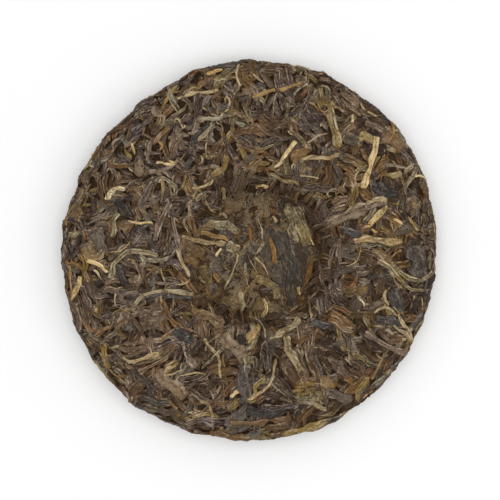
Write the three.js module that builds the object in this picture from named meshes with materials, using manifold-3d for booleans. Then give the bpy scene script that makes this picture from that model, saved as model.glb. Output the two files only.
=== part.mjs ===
import * as THREE from "three";
import { mergeVertices } from "three/addons/utils/BufferGeometryUtils.js";
import Module from "manifold-3d";

// A cake of tea leaves pressed in a cloth bag, of the usual 357 g size. It lies on its domed face,
// with the flatter face up, whose hollow was left by the knot of the bag. Twisted leaves stand out of
// the pressed mass all over. Millimetres, +Z up, origin in the middle of the flat spot it rests on.

// Driving dimensions
const CAKE_RADIUS = 100;
const CAKE_HEIGHT = 25; // from the flat spot to the crest round the hollow
const RIM_Z = 12.5; // height of the widest part of the rim
const REST_RADIUS = 34; // flat spot in the middle of the domed face
const HOLLOW_RADIUS = 38; // at the lip
const HOLLOW_FLOOR_RADIUS = 23;
const HOLLOW_DEPTH = 10.2;
const CREST_RADIUS = 56;
const LEAF_SEED = 357;

// The outline is not quite round: [lobes, height in mm, direction of a lobe in degrees]
const OUTLINE_LOBES = [
  [2, 1.4, 61],
  [3, 0.7, -50],
  [5, 0.3, 25],
  [6, 0.25, -18],
];
// and neither is the lip of the hollow.
const LIP_LOBES = [
  [1, 1.0, -20],
  [2, 1.2, 10],
  [3, 0.9, 75],
  [5, 0.6, 20],
];
// Gentle unevenness of the pressed faces: [wavelength, height, direction in degrees]
const FACE_WAVES = [
  [31, 0.3, 20],
  [23, 0.28, 82],
  [17, 0.24, 141],
  [13, 0.2, 55],
];

// Steps along each curve of the profile: floor, wall, crest, slope, shoulder, heel, dome, flat spot
const CURVE_STEPS = [2, 5, 2, 4, 3, 3, 4, 1];
const SPOKES = 54;

// Leaves that show best on the upper face, as width, whether broad, and three points along each
const SHOWN_LEAVES = [
  { width: 4.2, broad: false, path: [[66, 60], [64, 47], [58, 33]] },
  { width: 3.4, broad: false, path: [[24, 58], [18, 51], [12, 43]] },
  { width: 3.6, broad: false, path: [[29, 49], [38, 49], [47, 51]] },
  { width: 2.8, broad: false, path: [[0, 81], [14, 85], [28, 90]] },
  { width: 3.2, broad: false, path: [[-35, 81], [-26, 86], [-16, 84]] },
  { width: 4.4, broad: false, path: [[-76, 27], [-75, 36], [-65, 32]] },
  { width: 4.0, broad: false, path: [[-86, -3], [-80, -7], [-74, -11]] },
  { width: 2.8, broad: false, path: [[-73, -14], [-72, 6], [-50, -1]] },
  { width: 2.8, broad: false, path: [[-40, 19], [-40, 2], [-31, -14]] },
  { width: 3.0, broad: false, path: [[-60, -27], [-52, -14], [-29, -23]] },
  { width: 13, broad: true, path: [[-56, -28], [-52, -36], [-48, -44]] },
  { width: 2.8, broad: false, path: [[-68, -55], [-60, -63], [-48, -52]] },
  { width: 7.5, broad: true, path: [[-50, -62], [-42, -70], [-33, -77]] },
  { width: 3.6, broad: false, path: [[-62, -61], [-54, -67], [-49, -78]] },
  { width: 8.5, broad: true, path: [[-3, -58], [-4, -69], [-2, -81]] },
  { width: 7.0, broad: true, path: [[4, -37], [1, -44], [-4, -51]] },
  { width: 5.0, broad: false, path: [[19, -42], [17, -54], [27, -63]] },
  { width: 3.0, broad: false, path: [[13, -53], [14, -72], [-3, -79]] },
  { width: 2.8, broad: false, path: [[-25, -45], [-13, -48], [-15, -67]] },
  { width: 4.2, broad: false, path: [[54, 5], [64, 9], [81, 5]] },
  { width: 6.0, broad: true, path: [[42, 16], [58, 20], [73, 28]] },
  { width: 5.2, broad: false, path: [[42, 80], [41, 66], [48, 54]] },
  { width: 9.0, broad: true, path: [[91, 3], [90, -5], [89, -14]] },
  { width: 7.5, broad: true, path: [[82, 26], [87, 25], [92, 23]] },
  { width: 3.0, broad: false, path: [[65, -33], [71, -25], [77, -34]] },
  { width: 3.4, broad: false, path: [[77, -31], [82, -40], [86, -49]] },
  { width: 3.8, broad: false, path: [[59, -42], [70, -47], [83, -55]] },
  { width: 5.5, broad: false, path: [[16, -97], [30, -95], [42, -89]] },
  { width: 3.2, broad: false, path: [[30, 75], [42, 80], [40, 68]] },
  { width: 10, broad: true, path: [[19, 2], [21, -8], [19, -20]] },
  { width: 9, broad: true, path: [[20, 18], [24, 13], [28, 7]] },
];

// The rest are strewn by a rule, evenly over each face: how many, and from which to which distance
// from the middle of the face, measured along the surface.
const STREWN = [
  { face: "upper", count: 50, inner: 6, outer: 96 },
  { face: "upper", count: 27, inner: 97, outer: 109 },
  { face: "lower", count: 24, inner: 42, outer: 98 },
];
const LEAF_LENGTH = [17, 27];
const LEAF_WIDTH = [3, 4.8];
const BROAD_LEAF_EVERY = 5;
const BROAD_LEAF_WIDTH = [6, 9];
const LEAF_CLEARANCE = 7.5; // between the middles of two leaves, where there is room for it

// A leaf's section, as places across it, in half widths, that are either crown or edge
const NARROW_SECTION = [
  { aside: -1, isCrown: false },
  { aside: 0, isCrown: true },
  { aside: 1, isCrown: false },
];
const BROAD_SECTION = [
  { aside: -1, isCrown: false },
  { aside: -0.62, isCrown: true },
  { aside: 0.62, isCrown: true },
  { aside: 1, isCrown: false },
];
const CROWN_HEIGHT = 1.4;
const EDGE_DEPTH = 0.35;
const TIP_DEPTH = 1.3;
const LEAF_STEPS = 5;
const TRIM_BLOCK = 300; // side of the block that takes off what hangs below the flat spot

const wasm = await Module();
wasm.setup();

const radians = THREE.MathUtils.degToRad;

// Repeatable random numbers from 0 to 1
function makeDraw(seed) {
  let state = seed;
  return () => {
    state = (state * 1664525 + 1013904223) % 4294967296;
    return state / 4294967296;
  };
}
const draw = makeDraw(LEAF_SEED);
const between = ([low, high]) => low + (high - low) * draw();

// Half of the cake's section, as a curve of radius and height from the middle of the hollow, over the
// crest and round the rim, to the middle of the flat spot
function makeProfile() {
  const floorZ = CAKE_HEIGHT - HOLLOW_DEPTH;
  const lipZ = CAKE_HEIGHT - 1.6;
  const shoulder = [CAKE_RADIUS - 10, CAKE_HEIGHT - 4.8];
  const heel = [CAKE_RADIUS - 7, 5];
  const profile = new THREE.Path();
  profile.moveTo(0, floorZ);
  profile.lineTo(HOLLOW_FLOOR_RADIUS, floorZ - 0.4);
  profile.bezierCurveTo(HOLLOW_FLOOR_RADIUS + 7, floorZ - 0.4, HOLLOW_RADIUS - 6, lipZ - 1.5, HOLLOW_RADIUS, lipZ);
  profile.bezierCurveTo(HOLLOW_RADIUS + 5, lipZ + 1, CREST_RADIUS - 7, CAKE_HEIGHT, CREST_RADIUS, CAKE_HEIGHT);
  profile.bezierCurveTo(CREST_RADIUS + 12, CAKE_HEIGHT, shoulder[0] - 8, shoulder[1] + 1.8, ...shoulder);
  profile.bezierCurveTo(shoulder[0] + 6, shoulder[1] - 1.5, CAKE_RADIUS, RIM_Z + 4, CAKE_RADIUS, RIM_Z);
  profile.bezierCurveTo(CAKE_RADIUS, RIM_Z - 4, heel[0] + 4, heel[1] + 1.2, ...heel);
  profile.bezierCurveTo(heel[0] - 15, 1.2, REST_RADIUS + 22, 0, REST_RADIUS, 0);
  profile.lineTo(0, 0);
  return profile;
}
const profile = makeProfile();
const PROFILE_LENGTH = profile.getLength();

// Where the core's rings lie, as shares of the profile's length
function ringShares() {
  const ends = profile.getCurveLengths();
  return CURVE_STEPS.reduce(
    (shares, steps, i) => {
      const start = i ? ends[i - 1] : 0;
      const added = Array.from({ length: steps }, (_, k) => start + ((ends[i] - start) * (k + 1)) / steps);
      return shares.concat(added.map((distance) => distance / PROFILE_LENGTH));
    },
    [0],
  );
}

// Sum of the lobes in a direction
function lobes(list, angle) {
  return list.reduce((sum, [count, height, at]) => sum + height * Math.cos(count * (angle - radians(at))), 0);
}

// Height of the pressed faces' unevenness at a place
function faceWave(x, y) {
  return FACE_WAVES.reduce((sum, [length, height, at]) => {
    const along = x * Math.cos(radians(at)) + y * Math.sin(radians(at));
    return sum + height * Math.sin((2 * Math.PI * along) / length + at);
  }, 0);
}

// A point on the cake's surface, or lifted off it: a share of the way along the profile, a direction
// round the axis, and a lift along the surface's normal
function surfacePoint(share, angle, lift) {
  const clamped = THREE.MathUtils.clamp(share, 0, 1);
  const at = profile.getPointAt(clamped);
  const tangent = profile.getTangentAt(clamped);
  const outside = THREE.MathUtils.smoothstep(at.x, CREST_RADIUS, CAKE_RADIUS);
  const isUpper = at.y > RIM_Z;
  const inLip = isUpper ? THREE.MathUtils.smoothstep(at.x, 12, HOLLOW_RADIUS - 4) : 0;
  const pastLip = THREE.MathUtils.smoothstep(at.x, HOLLOW_RADIUS, CREST_RADIUS);
  const grown = at.x + outside * lobes(OUTLINE_LOBES, angle) + inLip * (1 - pastLip) * lobes(LIP_LOBES, angle);
  const resting = at.y < RIM_Z ? THREE.MathUtils.smoothstep(at.x, REST_RADIUS, CAKE_RADIUS - 15) : 1;
  const raise = lift + resting * faceWave(grown * Math.cos(angle), grown * Math.sin(angle));
  // The tangent runs outwards on the upper face, so the normal is the tangent turned left.
  const radius = grown - tangent.y * raise;
  return new THREE.Vector3(radius * Math.cos(angle), radius * Math.sin(angle), at.y + tangent.x * raise);
}

// A point named by its place on one face, as if the face were peeled off flat
function facePoint(face, x, y, lift) {
  const reach = Math.hypot(x, y) / PROFILE_LENGTH;
  return surfacePoint(face === "upper" ? reach : 1 - reach, Math.atan2(y, x), lift);
}

// One closed surface of a three.js geometry, with only positions left
function closedGeometry(geometry) {
  geometry.deleteAttribute("normal");
  geometry.deleteAttribute("uv");
  const merged = mergeVertices(geometry, 1e-4);
  const kept = [];
  for (let i = 0; i < merged.index.count; i += 3) {
    const [a, b, c] = [0, 1, 2].map((k) => merged.index.getX(i + k));
    if (a !== b && b !== c && a !== c) kept.push(a, b, c);
  }
  merged.setIndex(kept);
  return merged;
}

// The geometry as a solid; moved vertices can leave it inside out, and then its faces are turned
function toSolid(geometry) {
  const vertProperties = new Float32Array(geometry.attributes.position.array);
  const triVerts = new Uint32Array(geometry.index.array);
  const made = new wasm.Manifold(new wasm.Mesh({ numProp: 3, vertProperties, triVerts }));
  if (made.volume() > 0) return made;
  const turned = triVerts.slice();
  for (let i = 0; i < turned.length; i += 3) [turned[i + 1], turned[i + 2]] = [turned[i + 2], turned[i + 1]];
  return new wasm.Manifold(new wasm.Mesh({ numProp: 3, vertProperties, triVerts: turned }));
}

// The pressed mass under the leaves that stand out
function makeCore() {
  const shares = ringShares();
  const last = shares.length - 1;
  const points = shares.map((share) => profile.getPointAt(share)).map((at) => new THREE.Vector2(at.x, at.y));
  const lathe = new THREE.LatheGeometry(points, SPOKES);
  const position = lathe.attributes.position;
  for (let spoke = 0; spoke <= SPOKES; spoke++) {
    const angle = (2 * Math.PI * (spoke % SPOKES)) / SPOKES;
    shares.forEach((share, ring) => {
      const isPole = ring === 0 || ring === last;
      const at = surfacePoint(share, isPole ? 0 : angle, 0);
      const onAxis = isPole ? 0 : 1;
      position.setXYZ(spoke * shares.length + ring, at.x * onAxis, at.y * onAxis, at.z);
    });
  }
  return toSolid(closedGeometry(lathe));
}

// A rolled leaf along a path on one face: a sphere's rings become the leaf's sections, one after the
// other along the path, and its poles the two tips
function makeLeaf({ face, path, width, broad, twist, crown }) {
  const points = path.map(([x, y]) => new THREE.Vector3(x, y, 0));
  const curve = new THREE.CatmullRomCurve3(points, false, "centripetal");
  const section = broad ? BROAD_SECTION : NARROW_SECTION;
  const ball = closedGeometry(new THREE.SphereGeometry(1, section.length, LEAF_STEPS));
  const position = ball.attributes.position;
  for (let i = 0; i < position.count; i++) {
    const along = Math.acos(THREE.MathUtils.clamp(position.getY(i), -1, 1)) / Math.PI;
    const turn = Math.atan2(position.getZ(i), -position.getX(i)) / (2 * Math.PI);
    const corner = section[Math.round((turn + 1) * section.length) % section.length];
    const at = curve.getPointAt(along);
    const ahead = curve.getTangentAt(along);
    const fullness = Math.sin(Math.PI * along) ** 0.45;
    const isTip = along < 1e-6 || along > 1 - 1e-6;
    const shift = corner.isCrown ? twist * (along - 0.5) : 0;
    const aside = isTip ? 0 : (corner.aside * fullness * width) / 2 + shift * width;
    const waviness = 0.2 * Math.sin(9 * along + 40 * twist + 2 * corner.aside);
    let lift = corner.isCrown ? crown * fullness + waviness : -EDGE_DEPTH;
    if (isTip) lift = -TIP_DEPTH;
    const place = facePoint(face, at.x - ahead.y * aside, at.y + ahead.x * aside, lift);
    position.setXYZ(i, place.x, place.y, place.z);
  }
  return toSolid(ball);
}

// A strewn leaf's path: an arc through its middle, bent to one side
function arcPath(x, y, direction, length, bend) {
  const half = length / 2;
  const [cos, sin] = [Math.cos(direction), Math.sin(direction)];
  return [
    [x - half * cos + bend * sin, y - half * sin - bend * cos],
    [x, y],
    [x + half * cos + bend * sin, y + half * sin - bend * cos],
  ];
}

// All leaves: those named above first, then the strewn ones, which keep off what already lies there
function layOutLeaves() {
  const laid = SHOWN_LEAVES.map((leaf) => ({ ...leaf, face: "upper", twist: 0.25, crown: CROWN_HEIGHT }));
  const middles = { upper: laid.flatMap((leaf) => leaf.path), lower: [] };
  const goldenAngle = Math.PI * (3 - Math.sqrt(5));
  for (const { face, count, inner, outer } of STREWN) {
    for (let i = 0; i < count; i++) {
      const spread = Math.sqrt(inner ** 2 + ((outer ** 2 - inner ** 2) * (i + 0.5)) / count);
      let best = null;
      for (let attempt = 0; attempt < 12; attempt++) {
        const reach = THREE.MathUtils.clamp(spread + (attempt ? between([-7, 7]) : 0), inner, outer);
        const angle = i * goldenAngle + (attempt ? between([-7, 7]) / Math.max(reach, 10) : 0);
        const [x, y] = [reach * Math.cos(angle), reach * Math.sin(angle)];
        const room = Math.min(40, ...middles[face].map(([a, b]) => Math.hypot(x - a, y - b)));
        if (!best || room > best.room) best = { x, y, angle, room };
        if (room > LEAF_CLEARANCE) break;
      }
      const isOnRim = face === "upper" && inner > 90;
      const turn = isOnRim ? Math.PI / 2 + between([-0.5, 0.5]) : between([0, Math.PI]);
      const path = arcPath(best.x, best.y, best.angle + turn, between(LEAF_LENGTH), between([-3, 3]));
      middles[face].push(...path);
      const broad = i % BROAD_LEAF_EVERY === 0;
      const width = between(broad ? BROAD_LEAF_WIDTH : LEAF_WIDTH);
      const crown = CROWN_HEIGHT * between([0.75, 1.15]);
      laid.push({ face, path, width, broad, twist: broad ? 0 : between([-0.35, 0.35]), crown });
    }
  }
  return laid;
}

// What fusing leaves over: a sealed hollow counts as filled and a loose scrap is dropped
function largestBody(solid) {
  return solid.decompose().reduce((a, b) => (b.volume() > a.volume() ? b : a));
}

function makeCake() {
  const fused = wasm.Manifold.union([makeCore(), ...layOutLeaves().map(makeLeaf)]);
  const block = closedGeometry(new THREE.BoxGeometry(TRIM_BLOCK, TRIM_BLOCK, TRIM_BLOCK / 10));
  block.translate(0, 0, -TRIM_BLOCK / 20);
  return largestBody(fused.subtract(toSolid(block)));
}

function toMesh(name, solid, material) {
  const { vertProperties, triVerts, numProp } = solid.getMesh();
  const count = vertProperties.length / numProp;
  const positions = new Float32Array(count * 3);
  for (let i = 0; i < count; i++) positions.set(vertProperties.subarray(i * numProp, i * numProp + 3), i * 3);
  const geometry = new THREE.BufferGeometry();
  geometry.setAttribute("position", new THREE.BufferAttribute(positions, 3));
  geometry.setIndex(new THREE.BufferAttribute(triVerts, 1));
  geometry.computeVertexNormals();
  const mesh = new THREE.Mesh(geometry, material);
  mesh.name = name;
  return mesh;
}

const driedLeaf = new THREE.MeshStandardMaterial({ color: 0x5b4c3c, roughness: 0.7, metalness: 0 });

const group = new THREE.Group();
group.add(toMesh("tea_cake", makeCake(), driedLeaf));

export default group;
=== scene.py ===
"""Pu erh tea cake: its pressed tea leaves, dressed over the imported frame.

The leaves are laid on a flat pile one by one, each settling on those below. The pile is then pressed, and
wrapped onto the cake's form: once over the hollowed face and the rim, and once over the domed face below.
The form repeats the frame's driving sizes. Millimetres are used up to the meshes, which are in metres.
"""

from __future__ import annotations

import logging
import math
from dataclasses import dataclass, field
from enum import Enum
from functools import cache, cached_property

import bmesh
import bpy
import numpy as np
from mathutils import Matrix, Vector, noise

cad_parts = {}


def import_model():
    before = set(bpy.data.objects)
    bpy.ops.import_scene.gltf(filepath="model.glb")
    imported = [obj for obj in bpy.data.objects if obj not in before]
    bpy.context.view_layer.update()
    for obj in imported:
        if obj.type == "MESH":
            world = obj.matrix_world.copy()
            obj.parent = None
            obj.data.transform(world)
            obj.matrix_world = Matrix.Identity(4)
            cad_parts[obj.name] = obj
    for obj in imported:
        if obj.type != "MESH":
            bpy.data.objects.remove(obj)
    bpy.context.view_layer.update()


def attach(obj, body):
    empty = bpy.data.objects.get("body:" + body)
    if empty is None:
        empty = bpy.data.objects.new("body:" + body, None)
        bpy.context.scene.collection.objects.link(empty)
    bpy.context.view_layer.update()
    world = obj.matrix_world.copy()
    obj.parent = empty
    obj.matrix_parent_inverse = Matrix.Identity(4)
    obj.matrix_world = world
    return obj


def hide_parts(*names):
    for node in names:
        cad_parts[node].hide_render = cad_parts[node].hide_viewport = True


NODE = "tea_cake"
BODY = "root"
METRES = 0.001
SEED = 357

log = logging.getLogger("tea_cake")


class Face(Enum):
    """The two faces that the leaves are laid over."""

    UPPER = "upper"
    LOWER = "lower"


class LeafKind(Enum):
    """The kinds of leaf in the cake; each is one piece on each face, with its own finish."""

    TWIST = "brown_twists"
    DARK = "dark_twists"
    OLIVE = "olive_twists"
    SLATE = "slate_leaves"
    FLAKE = "broad_flakes"
    BUD = "golden_buds"
    STALK = "tan_stalks"
    RUSSET = "russet_stalks"
    SHRED = "fine_shreds"
    CRUMB = "leaf_crumbs"
    MAT = "hollow_mat"


TWIST, DARK, OLIVE, SLATE, FLAKE, BUD, STALK, RUSSET, SHRED, CRUMB, MAT = LeafKind


def smoothstep(value: np.ndarray, low: float, high: float) -> np.ndarray:
    """Rise smoothly from 0 at the low value to 1 at the high one.

    Args:
        value: Where to read the rise.
        low: Where the rise starts.
        high: Where it ends.

    Returns:
        The height of the rise, from 0 to 1.
    """
    share = np.clip((value - low) / (high - low), 0.0, 1.0)
    return share * share * (3.0 - 2.0 * share)


@dataclass(frozen=True)
class CakeForm:
    """The cake's outer form, from the frame's own driving sizes, in millimetres."""

    radius: float = 100.0
    height: float = 25.0
    rim_z: float = 12.5
    rest_radius: float = 34.0
    hollow_radius: float = 38.0
    hollow_floor_radius: float = 23.0
    hollow_depth: float = 10.2
    crest_radius: float = 56.0
    outline_lobes: tuple = ((2, 1.4, 61), (3, 0.7, -50), (5, 0.3, 25), (6, 0.25, -18))
    lip_lobes: tuple = ((1, 1.0, -20), (2, 1.2, 10), (3, 0.9, 75), (5, 0.6, 20))
    face_waves: tuple = ((31, 0.3, 20), (23, 0.28, 82), (17, 0.24, 141), (13, 0.2, 55))
    curve_samples: int = 120

    def curves(self) -> list[list[tuple[float, float]]]:
        """List the curves of half the cake's section.

        Returns:
            Control points of each curve, as radius and height, from the hollow's middle, over the crest
            and round the rim, to the middle of the flat spot.
        """
        floor_r, lip_r, crest_r = self.hollow_floor_radius, self.hollow_radius, self.crest_radius
        rim_r, rim_z, top, rest_r = self.radius, self.rim_z, self.height, self.rest_radius
        floor_z = top - self.hollow_depth
        low = floor_z - 0.4
        lip_z = top - 1.6
        shoulder_r, shoulder_z = rim_r - 10, top - 4.8
        heel_r, heel_z = rim_r - 7, 5.0
        shoulder, heel = (shoulder_r, shoulder_z), (heel_r, heel_z)
        return [
            [(0, floor_z), (floor_r, low)],
            [(floor_r, low), (floor_r + 7, low), (lip_r - 6, lip_z - 1.5), (lip_r, lip_z)],
            [(lip_r, lip_z), (lip_r + 5, lip_z + 1), (crest_r - 7, top), (crest_r, top)],
            [(crest_r, top), (crest_r + 12, top), (shoulder_r - 8, shoulder_z + 1.8), shoulder],
            [shoulder, (shoulder_r + 6, shoulder_z - 1.5), (rim_r, rim_z + 4), (rim_r, rim_z)],
            [(rim_r, rim_z), (rim_r, rim_z - 4), (heel_r + 4, heel_z + 1.2), heel],
            [heel, (heel_r - 15, 1.2), (rest_r + 22, 0), (rest_r, 0)],
            [(rest_r, 0), (0, 0)],
        ]

    @cached_property
    def section(self) -> np.ndarray:
        """Sample the section: rows of arc length, radius, height, and the tangent's two parts."""
        t = np.linspace(0.0, 1.0, self.curve_samples)[:, None]
        parts = []
        for points in self.curves():
            p = np.array(points, float)
            if len(p) == 2:
                parts.append(p[0] + (p[1] - p[0]) * t)
            else:
                weights = [(1 - t) ** 3, 3 * t * (1 - t) ** 2, 3 * t**2 * (1 - t), t**3]
                parts.append(sum(weight * point for weight, point in zip(weights, p)))
        line = np.concatenate([part[:-1] for part in parts[:-1]] + [parts[-1]])
        steps = np.hypot(*np.diff(line, axis=0).T)
        arc = np.concatenate([[0.0], np.cumsum(steps)])
        tangent = np.gradient(line, arc, axis=0)
        tangent /= np.hypot(*tangent.T)[:, None]
        return np.column_stack([arc, line, tangent]).T

    @property
    def length(self) -> float:
        """Give the section's whole arc length."""
        return float(self.section[0, -1])

    @cached_property
    def rim_arc(self) -> float:
        """Give the arc length from the hollow's middle to the widest part of the rim."""
        return float(self.section[0, np.argmax(self.section[1])])

    @staticmethod
    def lobes(listed: tuple, angle: np.ndarray) -> np.ndarray:
        """Sum lobes in a direction.

        Args:
            listed: Lobes as count, height and direction in degrees.
            angle: Directions in radians.

        Returns:
            The summed height.
        """
        return sum(height * np.cos(count * (angle - math.radians(at))) for count, height, at in listed)

    def wave(self, x: np.ndarray, y: np.ndarray) -> np.ndarray:
        """Give the pressed faces' gentle unevenness at places on the cake."""
        total = np.zeros_like(x)
        for length, height, at in self.face_waves:
            along = x * math.cos(math.radians(at)) + y * math.sin(math.radians(at))
            total += height * np.sin(2 * math.pi * along / length + at)
        return total

    def radius_at(self, arc: np.ndarray, angle: np.ndarray) -> np.ndarray:
        """Give the radius of the form at an arc length and a direction.

        Args:
            arc: Arc lengths along the section.
            angle: Directions in radians.

        Returns:
            Radii with the outline's and the lip's lobes.
        """
        arcs, radii, heights = self.section[:3]
        radius = np.interp(arc, arcs, radii)
        is_upper = np.interp(arc, arcs, heights) > self.rim_z
        outside = smoothstep(radius, self.crest_radius, self.radius)
        in_lip = np.where(is_upper, smoothstep(radius, 12.0, self.hollow_radius - 4), 0.0)
        past_lip = smoothstep(radius, self.hollow_radius, self.crest_radius)
        lip = in_lip * (1 - past_lip) * self.lobes(self.lip_lobes, angle)
        return radius + outside * self.lobes(self.outline_lobes, angle) + lip

    def on_floor(self, arc: np.ndarray) -> np.ndarray:
        """Tell how far arc lengths lie on the hollow's floor: 1 in its middle, 0 from its wall outwards."""
        return 1 - smoothstep(arc, self.hollow_radius - 11, self.hollow_radius - 4)

    def place(self, arc: np.ndarray, angle: np.ndarray, lift: np.ndarray) -> np.ndarray:
        """Place points on the form, or off it along its normal.

        Args:
            arc: Arc lengths along the section.
            angle: Directions in radians.
            lift: Distances outwards along the normal.

        Returns:
            Points with x, y and z on the last axis.
        """
        arcs, _, heights, out, up = self.section
        arc = np.clip(arc, 0.0, self.length)
        radius = self.radius_at(arc, angle)
        height = np.interp(arc, arcs, heights)
        resting = np.where(height < self.rim_z, smoothstep(radius, self.rest_radius, self.radius - 15), 1.0)
        raised = lift + resting * self.wave(radius * np.cos(angle), radius * np.sin(angle))
        # The tangent runs outwards on the upper face, so the normal is the tangent turned left.
        reach = radius - np.interp(arc, arcs, up) * raised
        z = height + np.interp(arc, arcs, out) * raised
        return np.stack([reach * np.cos(angle), reach * np.sin(angle), z], axis=-1)

    def wrap(self, face: Face, x: np.ndarray, y: np.ndarray, lift: np.ndarray) -> np.ndarray:
        """Wrap points of a flat pile onto the cake.

        Args:
            face: The face that the pile covers.
            x: Places on the pile, to the right.
            y: Places on the pile, upwards; seen from below on the lower face.
            lift: Heights above the form.

        Returns:
            Points with x, y and z on the last axis.
        """
        reach = np.hypot(x, y)
        if face is Face.UPPER:
            return self.place(reach, np.arctan2(y, x), lift)
        return self.place(self.length - reach, np.arctan2(-y, x), lift)

    def peel(self, x: float, y: float) -> tuple[float, float]:
        """Find where a place seen from above lies on the upper face's flat pile.

        Args:
            x: To the right of the cake's middle.
            y: Upwards from it.

        Returns:
            The same direction, at the arc length that has this radius.
        """
        angle = math.atan2(y, x)
        arcs = np.linspace(0.0, self.rim_arc, 400)
        radii = np.maximum.accumulate(self.radius_at(arcs, np.full_like(arcs, angle)))
        reach = float(np.interp(math.hypot(x, y), radii, arcs))
        return reach * math.cos(angle), reach * math.sin(angle)


@dataclass(frozen=True)
class Ripple:
    """A random unevenness over a flat pile: waves in many directions, with lengths in millimetres."""

    lengths: tuple[float, float]
    height: float
    seed: int
    count: int = 14

    @cached_property
    def waves(self) -> np.ndarray:
        """Draw the waves: rows of their two wave numbers and their phases."""
        draw = np.random.default_rng(self.seed)
        size = 2 * math.pi / draw.uniform(*self.lengths, self.count)
        way, phase = draw.uniform(0, 2 * math.pi, (2, self.count))
        return np.stack([size * np.cos(way), size * np.sin(way), phase])

    def at(self, x: np.ndarray, y: np.ndarray) -> np.ndarray:
        """Give the unevenness at places.

        Args:
            x: Places on the pile.
            y: Places on the pile.

        Returns:
            Heights whose usual size is the ripple's height.
        """
        right, up, phase = self.waves
        sines = np.sin(np.multiply.outer(x, right) + np.multiply.outer(y, up) + phase)
        return self.height * math.sqrt(2 / self.count) * sines.sum(axis=-1)


# Places across a leaf, in half widths, and the heights there: for one to four folds, and for a crumpled
# flat piece as 0
FOLDS = {
    1: ((-1, -0.9, -0.6, -0.25, 0.05, 0.3, 0.6, 0.9, 1), (0, 0.7, 0.9, 0.94, 1, 0.84, 0.88, 0.64, 0)),
    2: ((-1, -0.9, -0.52, -0.2, 0.04, 0.22, 0.52, 0.9, 1), (0, 0.72, 1, 0.74, 0.42, 0.7, 0.92, 0.66, 0)),
    3: ((-1, -0.9, -0.6, -0.33, 0, 0.3, 0.62, 0.9, 1), (0, 0.66, 0.9, 0.48, 1, 0.5, 0.86, 0.6, 0)),
    4: ((-1, -0.8, -0.52, -0.25, 0, 0.25, 0.5, 0.8, 1), (0, 0.84, 0.46, 0.92, 0.5, 1, 0.5, 0.8, 0)),
    0: ((-1, -0.9, -0.6, -0.3, 0, 0.3, 0.6, 0.9, 1), (0, 0.78, 0.7, 0.92, 0.74, 0.88, 0.66, 0.8, 0)),
}
# Height of a leaf's underside, where a ridge is at about 1
UNDERSIDE = -0.3
# Millimetres between the samples along a leaf's middle line
SAMPLE_STEP = 0.45


@cache
def stiffness(count: int, reach: float) -> np.ndarray:
    """Make the matrix that evens out heights along a leaf, as its stiffness does.

    Args:
        count: Samples along the leaf.
        reach: How far the evening out reaches, in millimetres.

    Returns:
        A square matrix whose rows sum to 1.
    """
    places = np.arange(count) * SAMPLE_STEP
    weights = np.exp(-(((places[:, None] - places[None, :]) / reach) ** 2) / 2)
    return weights / weights.sum(axis=1, keepdims=True)


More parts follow.
